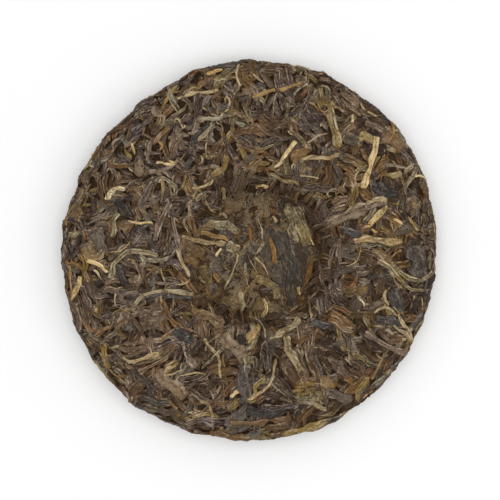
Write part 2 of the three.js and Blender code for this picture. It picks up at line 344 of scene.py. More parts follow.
@dataclass
class Leaf:
    """One leaf: its middle line on the flat pile, its section, and how it came to rest."""

    kind: LeafKind
    middle: np.ndarray
    width: float
    thickness: float
    folds: int
    tapers: tuple[float, float]
    drift: float
    ragged: float
    tone: float
    warmth: float
    phase: float
    line: np.ndarray = field(default_factory=lambda: np.zeros(0))
    slope: np.ndarray = field(default_factory=lambda: np.zeros(0))

    @cached_property
    def length(self) -> float:
        """Give the length of the middle line."""
        return float(np.hypot(*np.diff(self.middle, axis=0).T).sum())

    @cached_property
    def sides(self) -> np.ndarray:
        """Give the direction to the leaf's left side at each point of the middle line."""
        ahead = np.gradient(self.middle, axis=0)
        ahead /= np.maximum(np.hypot(*ahead.T)[:, None], 1e-9)
        return np.stack([-ahead[:, 1], ahead[:, 0]], axis=1)

    def fullness(self, along: np.ndarray) -> np.ndarray:
        """Give how full the leaf is along its length, from 0 at a tip to 1.

        Args:
            along: Shares of the length.

        Returns:
            Rounded rises over the two tapers.
        """
        start = np.clip(along * self.length / self.tapers[0], 0.0, 1.0)
        end = np.clip((1 - along) * self.length / self.tapers[1], 0.0, 1.0)
        return np.sqrt(start * (2 - start) * end * (2 - end))

    def half_width(self, across: np.ndarray, along: np.ndarray) -> np.ndarray:
        """Give half the width along the leaf, with its ragged edges.

        Args:
            across: Places across, whose sign tells the two edges apart.
            along: Shares of the length, of the same shape.

        Returns:
            Half widths in millimetres.
        """
        # Waves of unlike lengths make the edges ragged, each edge in its own way.
        beat = along * self.length + 5 * np.sign(across)
        wobble = np.sin(beat * 0.6 + self.phase) + 0.7 * np.sin(beat * 1.5 + 3 * self.phase)
        wobble += 0.6 * np.sin(beat * 2.9 + 7 * self.phase)
        return self.width / 2 * self.fullness(along) * (1 + self.ragged * wobble)

    def fold_height(self, across: np.ndarray, along: np.ndarray) -> np.ndarray:
        """Give the relief of the folds, from 0 at an edge to about 1 on a ridge.

        Args:
            across: Places across, from -1 to 1.
            along: Shares of the length, of the same shape.

        Returns:
            Relative heights.
        """
        places, heights = FOLDS[self.folds]
        moved = across - self.drift * (along - 0.5) * (1 - across**2)
        height = np.interp(moved, places, heights)
        # The ridges rise and fall along the leaf, each in its own way.
        beat = along * self.length
        lumps = np.sin(beat * 0.8 + self.phase + 7 * across) + 0.6 * np.sin(beat * 1.9 - 5 * across)
        return height * (1 + 2.2 * self.ragged * lumps)

    def base(self, across: np.ndarray, along: np.ndarray) -> np.ndarray:
        """Give the height that the leaf rests at.

        Args:
            across: Places across, from -1 to 1.
            along: Shares of the length, of the same shape.

        Returns:
            Heights in the pile.
        """
        steps = np.linspace(0.0, 1.0, len(self.line))
        tucked = 0.55 * self.thickness * (1 - self.fullness(along))
        return np.interp(along, steps, self.line) + across * np.interp(along, steps, self.slope) - tucked

    def spot(self, across: np.ndarray, along: np.ndarray) -> tuple[np.ndarray, np.ndarray]:
        """Find places of the leaf on the pile.

        Args:
            across: Places across, from -1 to 1.
            along: Shares of the length, of the same shape.

        Returns:
            The x and the y of each place.
        """
        steps = np.linspace(0.0, 1.0, len(self.middle))
        aside = across * self.half_width(across, along)
        x = np.interp(along, steps, self.middle[:, 0]) + aside * np.interp(along, steps, self.sides[:, 0])
        y = np.interp(along, steps, self.middle[:, 1]) + aside * np.interp(along, steps, self.sides[:, 1])
        return x, y


@dataclass
class Pile:
    """Leaves laid on a flat disc, with the pile's height and topmost leaf in each small cell.

    A leaf bridges what lies below it over the reach of its stiffness, and a matted leaf over less.
    """

    reach: float
    cell: float = 0.5
    leaf_stiffness: float = 2.6
    mat_stiffness: float = 1.8
    steepest: float = 0.7
    leaves: list[Leaf] = field(default_factory=list)

    def __post_init__(self) -> None:
        """Lay out the empty cells."""
        self.count = int(2 * self.reach / self.cell) + 3
        self.height = np.zeros(self.count**2)
        self.topmost = np.full(self.count**2, -1)

    def cells(self, x: np.ndarray, y: np.ndarray) -> np.ndarray:
        """Find the cells that places lie in.

        Args:
            x: Places to the right of the middle.
            y: Places upwards from it.

        Returns:
            Cell numbers.
        """
        column = np.clip(np.rint((x + self.reach) / self.cell).astype(int), 0, self.count - 1)
        row = np.clip(np.rint((y + self.reach) / self.cell).astype(int), 0, self.count - 1)
        return row * self.count + column

    def drop(self, leaf: Leaf) -> None:
        """Let a leaf settle on the pile.

        Args:
            leaf: The leaf, whose resting heights are set.
        """
        steps = len(leaf.middle)
        columns = max(3, int(math.ceil(leaf.width / SAMPLE_STEP)) + 1)
        across, along = np.meshgrid(np.linspace(-1, 1, columns), np.linspace(0, 1, steps))
        cells = self.cells(*leaf.spot(across, along))
        below = self.height[cells]
        evened = stiffness(steps, self.mat_stiffness if leaf.kind is MAT else self.leaf_stiffness)
        # A leaf rests between the mean height below it and the highest there.
        leaf.line = evened @ (0.6 * below.mean(axis=1) + 0.4 * below.max(axis=1))
        lean = (below * across).mean(axis=1) / (across[0] ** 2).mean()
        leaf.slope = np.clip(evened @ lean, -self.steepest, self.steepest)
        body = leaf.thickness * leaf.fullness(along) * leaf.fold_height(across, along)
        top = leaf.base(across, along) + body
        higher = top > below
        self.height[cells[higher]] = top[higher]
        self.topmost[cells[higher]] = len(self.leaves)
        self.leaves.append(leaf)

    def seen(self) -> np.ndarray:
        """Count the cells in which each leaf lies topmost."""
        shown = self.topmost[self.topmost >= 0]
        return np.bincount(shown, minlength=len(self.leaves))

    def evened(self, reach: float) -> np.ndarray:
        """Even out the pile's height over a neighbourhood.

        Args:
            reach: The neighbourhood's size in millimetres.

        Returns:
            Heights in each cell.
        """
        grid = self.height.reshape(self.count, self.count)
        places = (np.arange(self.count) - self.count // 2) * self.cell
        inside = (places[:, None] ** 2 + places[None, :] ** 2 < (self.reach - 3) ** 2).astype(float)
        waves = np.fft.fftfreq(self.count, self.cell)
        blur = np.exp(-2 * (math.pi * reach) ** 2 * (waves[:, None] ** 2 + waves[None, :] ** 2))

        def soften(values: np.ndarray) -> np.ndarray:
            """Blur a grid of values."""
            return np.real(np.fft.ifft2(np.fft.fft2(values) * blur))

        return (soften(grid * inside) / np.maximum(soften(inside), 1e-3)).ravel()


@dataclass(frozen=True)
class LeafRecipe:
    """How leaves of a kind are strewn: sizes in millimetres, as lowest and highest."""

    kind: LeafKind
    share: float
    length: tuple[float, float]
    width: tuple[float, float]
    thickness: tuple[float, float]
    folds: tuple[int, ...]
    bend: float
    ragged: float = 0.13
    tapers: tuple[float, float] = (1.2, 6.0)
    bundle: float = 0.0
    fold_gap: float = 2.2
    tone: float = 0.0


RECIPES = (
    LeafRecipe(TWIST, 0.24, (9, 25), (2.0, 5.2), (1.0, 1.6), (4,), 0.6, bundle=0.3),
    LeafRecipe(DARK, 0.19, (9, 23), (2.4, 6.0), (1.0, 1.5), (4,), 0.5, bundle=0.25, fold_gap=2.7),
    LeafRecipe(OLIVE, 0.15, (8, 23), (1.6, 4.0), (0.9, 1.5), (4,), 0.8, bundle=0.3),
    LeafRecipe(SLATE, 0.11, (9, 22), (2.8, 6.2), (0.9, 1.3), (0, 2), 0.45, bundle=0.2, fold_gap=3.2),
    LeafRecipe(FLAKE, 0.10, (6, 14), (4.0, 8.0), (0.8, 1.2), (0, 4), 0.5, 0.18, (3.0, 6.0)),
    LeafRecipe(BUD, 0.03, (5, 13), (1.4, 2.8), (0.8, 1.2), (1, 2), 0.7, 0.1, (2.0, 6.0)),
    LeafRecipe(STALK, 0.10, (6, 20), (0.8, 2.0), (0.7, 1.1), (1, 1, 2), 1.5, 0.07, (0.8, 2.5)),
    LeafRecipe(RUSSET, 0.06, (5, 13), (1.2, 3.2), (0.7, 1.0), (1, 2), 0.6, 0.1, (1.0, 3.0)),
)
MAT_RECIPES = (
    LeafRecipe(MAT, 0.54, (6, 17), (2.6, 8.0), (0.5, 0.9), (0, 4, 4), 0.8, 0.2, (3.0, 6.0)),
    LeafRecipe(TWIST, 0.10, (6, 15), (1.6, 4.0), (0.5, 0.9), (4,), 0.8, 0.15, (2.0, 6.0)),
    LeafRecipe(FLAKE, 0.12, (5, 11), (2.4, 6.0), (0.5, 0.8), (0, 4), 0.6, 0.18, (3, 5), tone=-0.3),
    LeafRecipe(OLIVE, 0.10, (5, 14), (1.2, 3.6), (0.4, 0.8), (3,), 1.0, 0.15, (2, 5), tone=-0.3),
    LeafRecipe(STALK, 0.13, (3, 12), (0.5, 1.2), (0.4, 0.6), (1,), 2.0, 0.08, (0.8, 2.0)),
    LeafRecipe(RUSSET, 0.09, (3, 10), (0.8, 2.8), (0.4, 0.7), (1,), 0.8, 0.15, (1.0, 3.0)),
)
CRUMBS = LeafRecipe(CRUMB, 1.0, (1.2, 3.6), (0.8, 2.2), (0.5, 0.8), (1,), 0.4, 0.2, (0.7, 0.9))
SHREDS = LeafRecipe(SHRED, 1.0, (4, 15), (0.35, 0.75), (0.35, 0.6), (1,), 2.4, 0.1, (0.8, 2.5))
# How thick the leaves that catch the eye are
THICKNESS = {
    TWIST: 1.3,
    OLIVE: 1.15,
    SLATE: 1.0,
    FLAKE: 0.8,
    BUD: 1.2,
    STALK: 1.0,
    RUSSET: 0.9,
    SHRED: 0.4,
    MAT: 0.6,
}


@dataclass(frozen=True)
class ShownLeaf:
    """A leaf that stands out in the view from above: its points are seen from the cake's middle."""

    kind: LeafKind
    width: float
    points: tuple[tuple[float, float], ...]
    tone: float = 0.0
    warmth: float = 0.2
    folds: int = 1
    tapers: tuple[float, float] = (1.6, 4.5)


BLUNT = (1.5, 1.5)
# Leaves of the hollowed face that catch the eye, lowest first: each row has the values of a shown leaf
SHOWN_ROWS = (
    (FLAKE, 14, ((-59, -36), (-52, -35), (-44, -34)), 0.2, -0.2, 4, (5, 5)),
    (SLATE, 11, ((86, 4), (89, -5), (90, -15)), 0.2, -0.3, 2, (4, 5)),
    (FLAKE, 9, ((81, 25), (86, 25), (91, 25)), 0.2, 0.0, 0, (4, 4)),
    (FLAKE, 10, ((69, 63), (76, 60), (82, 55)), 0.1, 0.1, 0, (4, 4)),
    (SLATE, 8.5, ((-3, -58), (-4, -69), (-2, -81)), 0.4, -0.4, 2, (3, 4)),
    (FLAKE, 7, ((-15, -44), (-9, -50), (-2, -54)), 1.0, 0.2, 2, (2, 4)),
    (FLAKE, 8, ((-89, 4), (-84, 0), (-79, -3)), 0.1, 0.3, 0, (3, 4)),
    (SLATE, 6.5, ((-82, 11), (-78, 5), (-76, -1)), 0.7, 0.1, 0, (1.5, 6)),
    (SLATE, 6, ((47, 61), (53, 59), (60, 57)), 0.0, 0.3, 2),
    (SLATE, 4.5, ((-55, -25), (-43, -21), (-30, -23)), 0.3, -0.5, 2),
    (SLATE, 4.2, ((-61, -61), (-55, -68), (-50, -77)), -0.1, -0.2, 2),
    (SLATE, 4.0, ((-58, -76), (-51, -79), (-43, -80)), 0.0, -0.2, 2),
    (SLATE, 4.5, ((-32, 56), (-27, 61), (-21, 67)), -0.2, -0.7, 1, (2, 3)),
    (SLATE, 6.0, ((65, 35), (71, 30), (77, 31)), -0.6, -0.9, 2),
    (SLATE, 6.0, ((-41, -40), (-36, -43), (-30, -47)), -0.4, -0.8, 2),
    (SLATE, 6.0, ((66, -34), (72, -37), (79, -37)), -0.1, -0.8, 2),
    (SLATE, 7.0, ((73, -19), (76, -26), (81, -31)), -0.1, -0.7, 0, (3, 4)),
    (SLATE, 5.0, ((47, 12), (53, 11), (59, 8)), 0.1, -0.8, 2),
    (SLATE, 5.0, ((31, -36), (36, -37), (42, -40)), 0.2, -0.8, 2),
    (SLATE, 5.5, ((-71, -7), (-67, -12), (-65, -18)), -0.5, -0.6, 2),
    (SLATE, 4.5, ((-70, 28), (-67, 23), (-64, 17)), -0.8, -0.8, 2),
    (SLATE, 5.5, ((-3, -83), (9, -86), (20, -83)), -0.7, -0.9, 3),
    (TWIST, 3.6, ((5, -81), (14, -84), (24, -80)), -0.5, -0.9, 2),
    (OLIVE, 2.6, ((-27, 57), (-24, 61), (-20, 67)), 0.8, 0.0, 1, (5, 1.2)),
    (FLAKE, 7, ((-49, -63), (-41, -70), (-33, -77)), 0.9, 0.3, 2, (3, 3)),
    (TWIST, 3.2, ((-59, -64), (-50, -58), (-42, -55)), 0.8, 0.3, 2),
    (TWIST, 6.5, ((67, -41), (74, -44), (81, -47)), -0.4, 0.2, 2, (4, 4)),
    (TWIST, 3.8, ((59, -42), (70, -48), (83, -55)), 0.7, 0.1, 3),
    (OLIVE, 5.2, ((16, -97), (30, -94), (41, -89)), 0.5, 0.6, 2, (4, 5)),
    (FLAKE, 6.2, ((41, 16), (52, 19), (62, 25), (73, 28)), 0.8, 0.0, 2, (3, 5)),
    (STALK, 4.6, ((54, 5), (63, 8), (72, 5), (81, 5.5)), 0.5, 0.1, 2, (2.5, 2.5)),
    (STALK, 3.2, ((60, 26), (66, 28), (72.5, 27.5)), 0.6, 0.1, 2),
    (BUD, 4.0, ((61, 13), (68, 20), (73, 25)), -0.3, 0.0, 1),
    (BUD, 1.5, ((75, 17), (77, 16), (79.5, 14.5)), 0.4, 0.1, 1, BLUNT),
    (BUD, 1.8, ((59, 13), (61, 12.5), (62.5, 12)), 0.0, 0.3, 1, BLUNT),
    (BUD, 1.8, ((63, 11.5), (65, 11), (66.5, 10.5)), 0.1, 0.6, 1, BLUNT),
    (OLIVE, 2.6, ((62, 1), (72, -4), (79, -13), (89, -18), (97, -10)), 0.3, 0.1, 2),
    (OLIVE, 2.4, ((66, -4), (74, -9), (82, -19), (92, -21)), 0.4, 0.2, 2),
    (OLIVE, 2.0, ((72, -9), (75, -15), (80, -20)), 0.6, 0.2, 1),
    (OLIVE, 5.0, ((42, 79), (42, 68), (47, 54)), 0.2, 0.3, 3, (3, 5)),
    (OLIVE, 3.0, ((88, 51), (88, 42), (80, 31)), 0.4, 0.0, 2),
    (TWIST, 3.2, ((-41, 26), (-48, 17), (-50, 5)), 0.5, 0.1, 2),
    (OLIVE, 3.2, ((-68, 21), (-72, 14), (-73, 7)), 0.5, 0.2, 2),
    (TWIST, 2.6, ((-40, 19), (-39, 8), (-37, -3), (-31, -14)), 0.9, 0.0, 2),
    (TWIST, 1.6, ((-36, -15), (-42, -18), (-51, -16)), 0.8, 0.1, 1),
    (OLIVE, 2.4, ((-61, -28), (-57, -21), (-50, -19), (-40, -19.5), (-29, -23)), 0.8, 0.1, 1),
    (OLIVE, 3.4, ((-73, -15), (-72, -5), (-66, 1), (-60, 1.5), (-52, -1), (-48, -2)), 0.9, 0.0, 2),
    (OLIVE, 4.2, ((26, -35), (19, -42), (12, -44)), 0.6, 0.2, 1),
    (OLIVE, 4.4, ((19, -44), (20, -54), (27, -63)), 0.9, 0.3, 2),
    (STALK, 2.2, ((13, -55), (13, -68), (5, -76), (-3, -78)), 0.2, 0.2, 1),
    (STALK, 2.2, ((-25, -45), (-18, -50), (-15, -58), (-15, -67)), 0.3, 0.1, 1),
    (STALK, 2.8, ((-68, -55), (-61, -59.5), (-57, -57), (-53, -53), (-47, -52.5)), 0.4, 0.1, 1),
    (STALK, 1.7, ((-45, -64), (-44, -59), (-38, -59)), 0.4, 0.2, 1),
    (STALK, 1.6, ((-35, -61), (-40, -64), (-46, -64)), 0.4, 0.2, 1),
    (STALK, 3.0, ((27, 48), (40, 49.5), (47, 51)), 0.7, 0.2, 1, (1.5, 3)),
    (RUSSET, 2.4, ((0, 81), (14, 85), (28, 89)), 1.0, 0.0, 1),
    (STALK, 2.7, ((-35, 81.5), (-25, 85), (-16, 85)), 0.9, 0.1, 1),
    (BUD, 2.2, ((-23, 94), (-19, 96), (-14, 97)), 0.2, 0.3, 1),
    (STALK, 1.9, ((-6.5, 99.5), (-9, 94), (-5.5, 87)), 0.9, 0.0, 1),
    (BUD, 2.0, ((-50, 46), (-45, 46.5), (-39, 46)), 0.4, 0.2, 1),
    (BUD, 1.7, ((-62, 58), (-61.5, 54), (-61, 50)), 0.1, 0.3, 1),
    (BUD, 1.7, ((-64, 16), (-57, 15), (-50, 14.5)), 0.6, 0.3, 1),
    (RUSSET, 1.6, ((31, 78), (38, 77), (40, 69)), 0.5, 0.3, 1),
    (RUSSET, 2.0, ((75, 68), (74, 62), (73, 56)), 0.4, 0.5, 1),
    (BUD, 1.7, ((86, 39.5), (89, 39), (92, 38)), 0.5, 0.1, 1),
    (STALK, 1.6, ((29, 57.5), (35, 60), (41, 62)), 0.4, 0.0, 1),
    (STALK, 1.7, ((61, 46), (53, 42), (55, 34)), 0.3, 0.0, 1),
    (RUSSET, 2.6, ((-95, -6), (-95, -18), (-93.5, -28)), 0.6, 0.3, 1),
    (RUSSET, 1.8, ((-97, -5), (-92, -5.5), (-88, -10)), 0.7, 0.2, 1),
    (BUD, 3.0, ((-89, -12), (-92, -20), (-94, -27)), -0.5, 0.3, 1),
    (STALK, 2.1, ((65, -32), (68, -28), (72, -28), (77, -34)), 0.6, 0.1, 1),
    (STALK, 1.9, ((71, -19), (69, -25), (73, -29)), 0.7, 0.1, 1),
    (STALK, 2.4, ((77, -32), (82, -40), (86, -49)), 0.3, 0.1, 1),
    (OLIVE, 2.2, ((75, -38), (82, -43), (85, -49)), 0.7, 0.1, 1),
    (OLIVE, 6.0, ((57, 61), (62, 59), (66, 59)), 1.0, 0.4, 0, (2, 3)),
    (BUD, 4.2, ((66, 62), (66.5, 52), (63, 43), (58, 32)), 0.5, 0.2, 2, (4, 1.8)),
    (BUD, 2.7, ((24, 58), (18, 50), (12, 43)), 0.5, 0.1, 1),
    (BUD, 3.8, ((-75.5, 27), (-75, 31), (-71, 34), (-65, 33)), 0.3, -0.5, 1, (1.2, 5)),
    (BUD, 3.0, ((-86, -3.5), (-80, -7), (-74, -11)), 0.9, 0.2, 1, (1.2, 4)),
    (RUSSET, 5.6, ((4, -38.5), (2, -42), (-2, -47)), 1.0, -0.4, 0, (1.5, 4)),
    (MAT, 9, ((7, 13), (10, -3), (14, -14)), -0.4, 0.1, 2, (9, 7)),
    (MAT, 9, ((26, 8), (28, -8), (22, -22)), -0.3, -0.1, 0, (8, 9)),
    (MAT, 10, ((12, 16), (17, -4), (17, -24)), -0.5, -0.1, 2, (10, 12)),
    (MAT, 8, ((19, 12), (23, -4), (21, -29)), -0.6, -0.2, 0, (9, 12)),
    (OLIVE, 7.0, ((20, 26), (22, 15), (26, 4)), 0.4, 0.1, 4, (3, 5)),
    (OLIVE, 6.5, ((24, 25), (27, 15), (29.5, 2)), 0.35, 0.1, 4, (3, 5)),
    (FLAKE, 6.5, ((-37, 4), (-30, 2.5), (-24, -2)), 0.0, 0.5, 0, (2, 4)),
    (FLAKE, 5.5, ((-34, -1), (-30, -4), (-27, -9)), -0.1, 0.5, 0, (2, 4)),
    (OLIVE, 5.5, ((-27, -8), (-23, -12), (-20, -17)), -0.8, 0.2, 0, (3, 3)),
    (FLAKE, 6, ((-12, 29), (-11.5, 25), (-11, 19)), 0.3, 0.3, 0, (2, 4)),
    (FLAKE, 6, ((-31, -30), (-23, -33), (-14, -38)), 0.3, 0.5, 2, (3, 4)),
    (RUSSET, 4.5, ((33, -2), (30, -10), (27.5, -18)), -0.5, 0.4, 1, (3, 3)),
    (OLIVE, 5.2, ((-22, 15), (-13, 15), (-5, 10)), 0.6, 0.0, 3, (3, 6)),
    (STALK, 3.2, ((-37, 8), (-30, 7), (-24, 5), (-18, 4.5), (-12.5, 3)), 0.2, 0.2, 2),
    (OLIVE, 4.4, ((-13, 3.5), (-9, 3), (-5, 1)), 0.7, 0.0, 3, (1.5, 3)),
    (RUSSET, 3.2, ((-26, 10.5), (-20, 8.5), (-15.5, 8), (-11.5, 5)), 0.8, 0.2, 2, (3, 5)),
    (BUD, 1.6, ((-18.5, -3), (-16.5, -0.5), (-14.5, 1.5)), 0.4, 0.0, 1, BLUNT),
    (RUSSET, 3.0, ((-19, -11), (-17.5, -13.5), (-15, -15)), 0.7, 0.2, 2, BLUNT),
    (STALK, 1.4, ((-6, -1), (-8, -9), (-11, -15), (-14, -20.5)), 0.3, 0.1, 1),
    (STALK, 0.9, ((4, 18), (6.2, 11.5), (7.2, 5.5)), 1.0, 0.0, 1),
    (OLIVE, 1.7, ((7.5, 5.5), (5, 1.5), (2.3, -2.5)), 0.7, 0.0, 1),
    (RUSSET, 2.0, ((-0.5, 13), (0.3, 9), (0, 5)), -0.3, 0.9, 1, (2, 3)),
    (RUSSET, 3.2, ((10.5, 8), (12, 0.5), (13.5, -8)), 0.3, 0.6, 2, (6, 7)),
    (BUD, 2.0, ((31, 8.5), (32, 6), (33, 3)), -0.2, 0.4, 1, BLUNT),
    (STALK, 2.4, ((12, 19), (13, 17), (13.5, 15)), 0.8, 0.1, 1, BLUNT),
    (OLIVE, 4.6, ((2, -15), (6, -13), (11, -16.5), (14, -20), (14, -25)), 0.3, 0.1, 4, (3, 4)),
    (STALK, 1.5, ((3, -4), (6.5, -5), (8.5, -8), (9, -12)), 0.6, 0.2, 1),
    (STALK, 1.1, ((0.5, -4), (2, -8.5), (3.5, -12)), 0.6, 0.1, 1),
    (OLIVE, 1.7, ((-2, -5), (-3, -9), (-2.5, -13)), 0.8, 0.0, 1),
    (STALK, 1.5, ((-4, -10), (-2.5, -15), (-1, -19)), 0.1, 0.1, 1),
    (OLIVE, 2.6, ((-5, -21), (-4.5, -26), (-4, -31)), 0.7, 0.2, 1),
    (RUSSET, 2.0, ((0, -18), (-2, -21), (-5, -23)), 0.3, 0.3, 1),
    (BUD, 2.6, ((7, -25), (10, -26.5), (9.5, -31), (5, -34)), -0.2, -0.2, 2),
    (STALK, 1.8, ((-24, 27), (-21, 23), (-18, 19.5)), 0.1, 0.5, 1),
    (OLIVE, 2.0, ((-15.5, 20), (-14, 20), (-12.5, 17.5)), 0.9, 0.0, 1, BLUNT),
    (OLIVE, 3.2, ((-15, 34), (-13, 31), (-14, 27)), 0.5, 0.9, 1, BLUNT),
    (STALK, 1.8, ((-30, 32.5), (-25, 34), (-19, 37.5)), 0.5, 0.2, 1),
    (BUD, 2.6, ((2, 33.5), (6, 34.5), (10, 34.5)), -0.2, 0.4, 1, BLUNT),
    (STALK, 2.2, ((-38, 1), (-34.5, -8), (-31.5, -14)), 0.8, 0.1, 1),
    (STALK, 1.6, ((-31, -14.5), (-35, -17), (-40, -17.5)), 0.5, 0.1, 1),
    (STALK, 2.0, ((25, -18), (26, -20), (26.5, -22)), 0.2, 0.3, 1, BLUNT),
    (STALK, 2.2, ((24, -27), (22.5, -29), (20, -31)), 0.2, 0.4, 1, BLUNT),
    (SHRED, 0.5, ((20.5, 6), (22.5, 2), (25, -2)), 1.0, 0.0),
    (SHRED, 0.5, ((23, 4), (24, 0.5), (25, -2)), 0.8, 0.0),
    (SHRED, 0.5, ((17, -5), (18, -8), (20.5, -10)), 1.0, 0.0),
    (SHRED, 0.5, ((23, -3.5), (25.5, -6), (27.5, -9)), 0.8, 0.0),
    (SHRED, 0.4, ((19, -2), (22, -5), (24, -9)), 0.7, 0.0),
    (SHRED, 0.4, ((14, -2), (16, -7), (17, -13)), 0.6, 0.0),
    (SHRED, 0.4, ((20, -9), (21.5, -13), (21, -18)), 0.6, 0.0),
)
SHOWN = [ShownLeaf(*row) for row in SHOWN_ROWS]


@dataclass
class LeafLayer:
    """The leaves of one face: strewn by the recipes, then those that catch the eye."""

    face: Face
    form: CakeForm
    draw: np.random.Generator
    reach: float
    strewn: int
    crumbs: int
    shreds: int
    coarser: float = 0.0
    least_seen: int = 9
    fewest_points: int = 8
    margin: float = 16.0
    rim_band: tuple[float, float] = (-26, -12)
    around_share: float = 0.75
    around_spread: float = 0.35
    most_bend: float = 2.4

    def between(self, pair: tuple[float, float]) -> float:
        """Draw a number between two."""
        return float(self.draw.uniform(*pair))

    def curved(self, x: float, y: float, heading: float, length: float, bend: float) -> np.ndarray:
        """Draw a leaf's middle line, bent evenly with a slight wander, or hooked at one end.

        Args:
            x: Middle of the leaf.
            y: Middle of the leaf.
            heading: Direction at the middle, in radians.
            length: Length of the leaf.
            bend: How far it turns from end to end, in radians.

        Returns:
            Points spaced evenly along the line.
        """
        count = max(5, int(length / SAMPLE_STEP) + 1)
        share = np.linspace(-0.5, 0.5, count)
        # Each line wanders slowly, and more slightly at a quicker beat; one in four ends in a hook.
        wander = self.draw.normal(0, 0.16) * np.sin(2 * math.pi * share + self.draw.uniform(0, 6))
        wander += self.draw.normal(0, 0.07) * np.sin(4.4 * math.pi * share + self.draw.uniform(0, 6))
        hook = self.draw.choice([0.0, 0.0, 0.0, 1.0]) * bend * np.clip(share / 0.5, 0, 1) ** 2 * 1.6
        turn = heading + bend * share + wander + hook
        step = length / (count - 1)
        line = np.cumsum(np.stack([np.cos(turn), np.sin(turn)], axis=1) * step, axis=0)
        return line - line[count // 2] + np.array([x, y])

    def leaf(self, recipe: LeafRecipe, middle: np.ndarray, width: float) -> Leaf:
        """Make a leaf by a recipe.

        Args:
            recipe: The leaf's kind and sizes.
            middle: Its middle line.
            width: Its width.

        Returns:
            The leaf, not yet laid.
        """
        tapers = tuple(self.draw.permutation(recipe.tapers) * self.draw.uniform(0.7, 1.3, 2))
        folds = int(self.draw.choice(recipe.folds))
        if folds:
            fitting = round(width / (recipe.fold_gap * self.draw.uniform(0.6, 1.3)))
            folds = int(np.clip(fitting, 1, max(recipe.folds)))
        # One leaf in three is cooler than its kind, and the others are warmer.
        return Leaf(
            kind=recipe.kind,
            middle=middle,
            width=width,
            thickness=self.between(recipe.thickness),
            folds=folds,
            tapers=tapers,
            drift=float(self.draw.normal(0, 0.8)),
            ragged=recipe.ragged,
            tone=float(np.clip(self.draw.normal(recipe.tone, 0.45), -1, 1)),
            warmth=float(self.draw.choice([1.0, 1.0, -1.0]) * self.draw.uniform(0, 1) ** 1.5),
            phase=float(self.draw.uniform(0, 2 * math.pi)),
        )

    def heading_at(self, x: float, y: float) -> float:
        """Draw a heading: any way on the faces, mostly round the cake at its rim."""
        reach = math.hypot(x, y)
        around = math.atan2(y, x) + math.pi / 2
        at_rim = float(smoothstep(np.array(reach), *(self.reach + away for away in self.rim_band)))
        if self.draw.uniform() > self.around_share * at_rim:
            return float(self.draw.uniform(0, math.pi))
        return around + float(self.draw.normal(0, self.around_spread))

    def strew(self, pile: Pile, recipe: LeafRecipe, x: float, y: float) -> None:
        """Lay a leaf, or a bundle of like leaves side by side.

        Args:
            pile: Where it is laid.
            recipe: The leaf's kind and sizes.
            x: Its middle.
            y: Its middle.
        """
        heading = self.heading_at(x, y)
        # The leaves are longer, broader and darker towards the lower right.
        leaning = self.coarser * (x - y) / self.reach
        length = self.between(recipe.length) * (1 + leaning)
        bend = float(np.clip(self.draw.normal(0, recipe.bend), -self.most_bend, self.most_bend))
        middle = self.curved(x, y, heading, length, bend)
        first = self.leaf(recipe, middle, self.between(recipe.width) * (1 + leaning))
        first.tone = float(np.clip(first.tone - 1.1 * leaning, -1, 1))
        pile.drop(first)
        if self.draw.uniform() > recipe.bundle:
            return
        laid = 1
        for _ in range(int(self.draw.integers(1, 3))):
            mate = self.mate(recipe, first, heading, laid)
            if mate is not None:
                pile.drop(mate)
                laid += 1

    def mate(self, recipe: LeafRecipe, first: Leaf, heading: float, laid: int) -> Leaf | None:
        """Make a like leaf that lies beside the first one of a bundle.

        Args:
            recipe: The bundle's recipe.
            first: Its first leaf.
            heading: The way that one lies, in radians.
            laid: How many of the bundle's leaves are laid.

        Returns:
            The leaf, or None where too little of it would be left.
        """
        side = 1 if laid % 2 else -1
        aside = (0.75 + 0.3 * self.draw.uniform()) * first.width * side * ((laid + 1) // 2)
        slid = self.draw.normal(0, 2.0)
        start, end = self.draw.integers(0, 9, 2)
        kept = slice(start, len(first.middle) - end)
        along = first.middle[kept]
        if len(along) < self.fewest_points:
            return None
        moved = along + first.sides[kept] * aside
        turn = self.draw.normal(0, 0.13)
        away = moved - moved.mean(axis=0)
        moved = moved + turn * np.stack([-away[:, 1], away[:, 0]], axis=1)
        moved = moved + slid * np.array([math.cos(heading), math.sin(heading)])
        mate = self.leaf(recipe, moved, first.width * self.draw.uniform(0.6, 1.0))
        mate.tone = float(np.clip(first.tone + self.draw.normal(0, 0.2), -1, 1))
        mate.warmth = first.warmth
        return mate

    def spots(self, count: int, reach: float) -> list[tuple[float, float]]:
        """Spread places evenly over the face, in a random order.

        Args:
            count: How many.
            reach: How far from the middle.

        Returns:
            Places on the pile.
        """
        # They lie on a sunflower's spiral, each a little off it.
        golden = math.pi * (3 - math.sqrt(5))
        number = self.draw.permutation(count)
        far = reach * np.sqrt((number + 0.5) / count) + self.draw.normal(0, 1.5, count)
        angle = number * golden + self.draw.normal(0, 0.02, count)
        return list(zip(far * np.cos(angle), far * np.sin(angle)))

    def strewn_leaves(self, pile: Pile) -> None:
        """Strew leaves until the face is covered several times over.

        Args:
            pile: Where they are laid.
        """
        for x, y in self.spots(self.strewn, self.reach):
            in_hollow = self.face is Face.UPPER and math.hypot(x, y) < self.form.hollow_radius - 3
            recipes = MAT_RECIPES if in_hollow else RECIPES
            shares = np.array([recipe.share for recipe in recipes])
            recipe = recipes[int(self.draw.choice(len(recipes), p=shares / shares.sum()))]
            self.strew(pile, recipe, x, y)
        hollow_reach = self.form.hollow_radius - 4
        scraps = [(CRUMBS, self.crumbs, self.reach), (SHREDS, self.shreds, self.reach)]
        if self.face is Face.UPPER:
            scraps += [(CRUMBS, self.crumbs // 6, hollow_reach), (SHREDS, self.shreds // 3, hollow_reach)]
        for recipe, count, reach in scraps:
            for x, y in self.spots(count, reach):
                self.strew(pile, recipe, x, y)

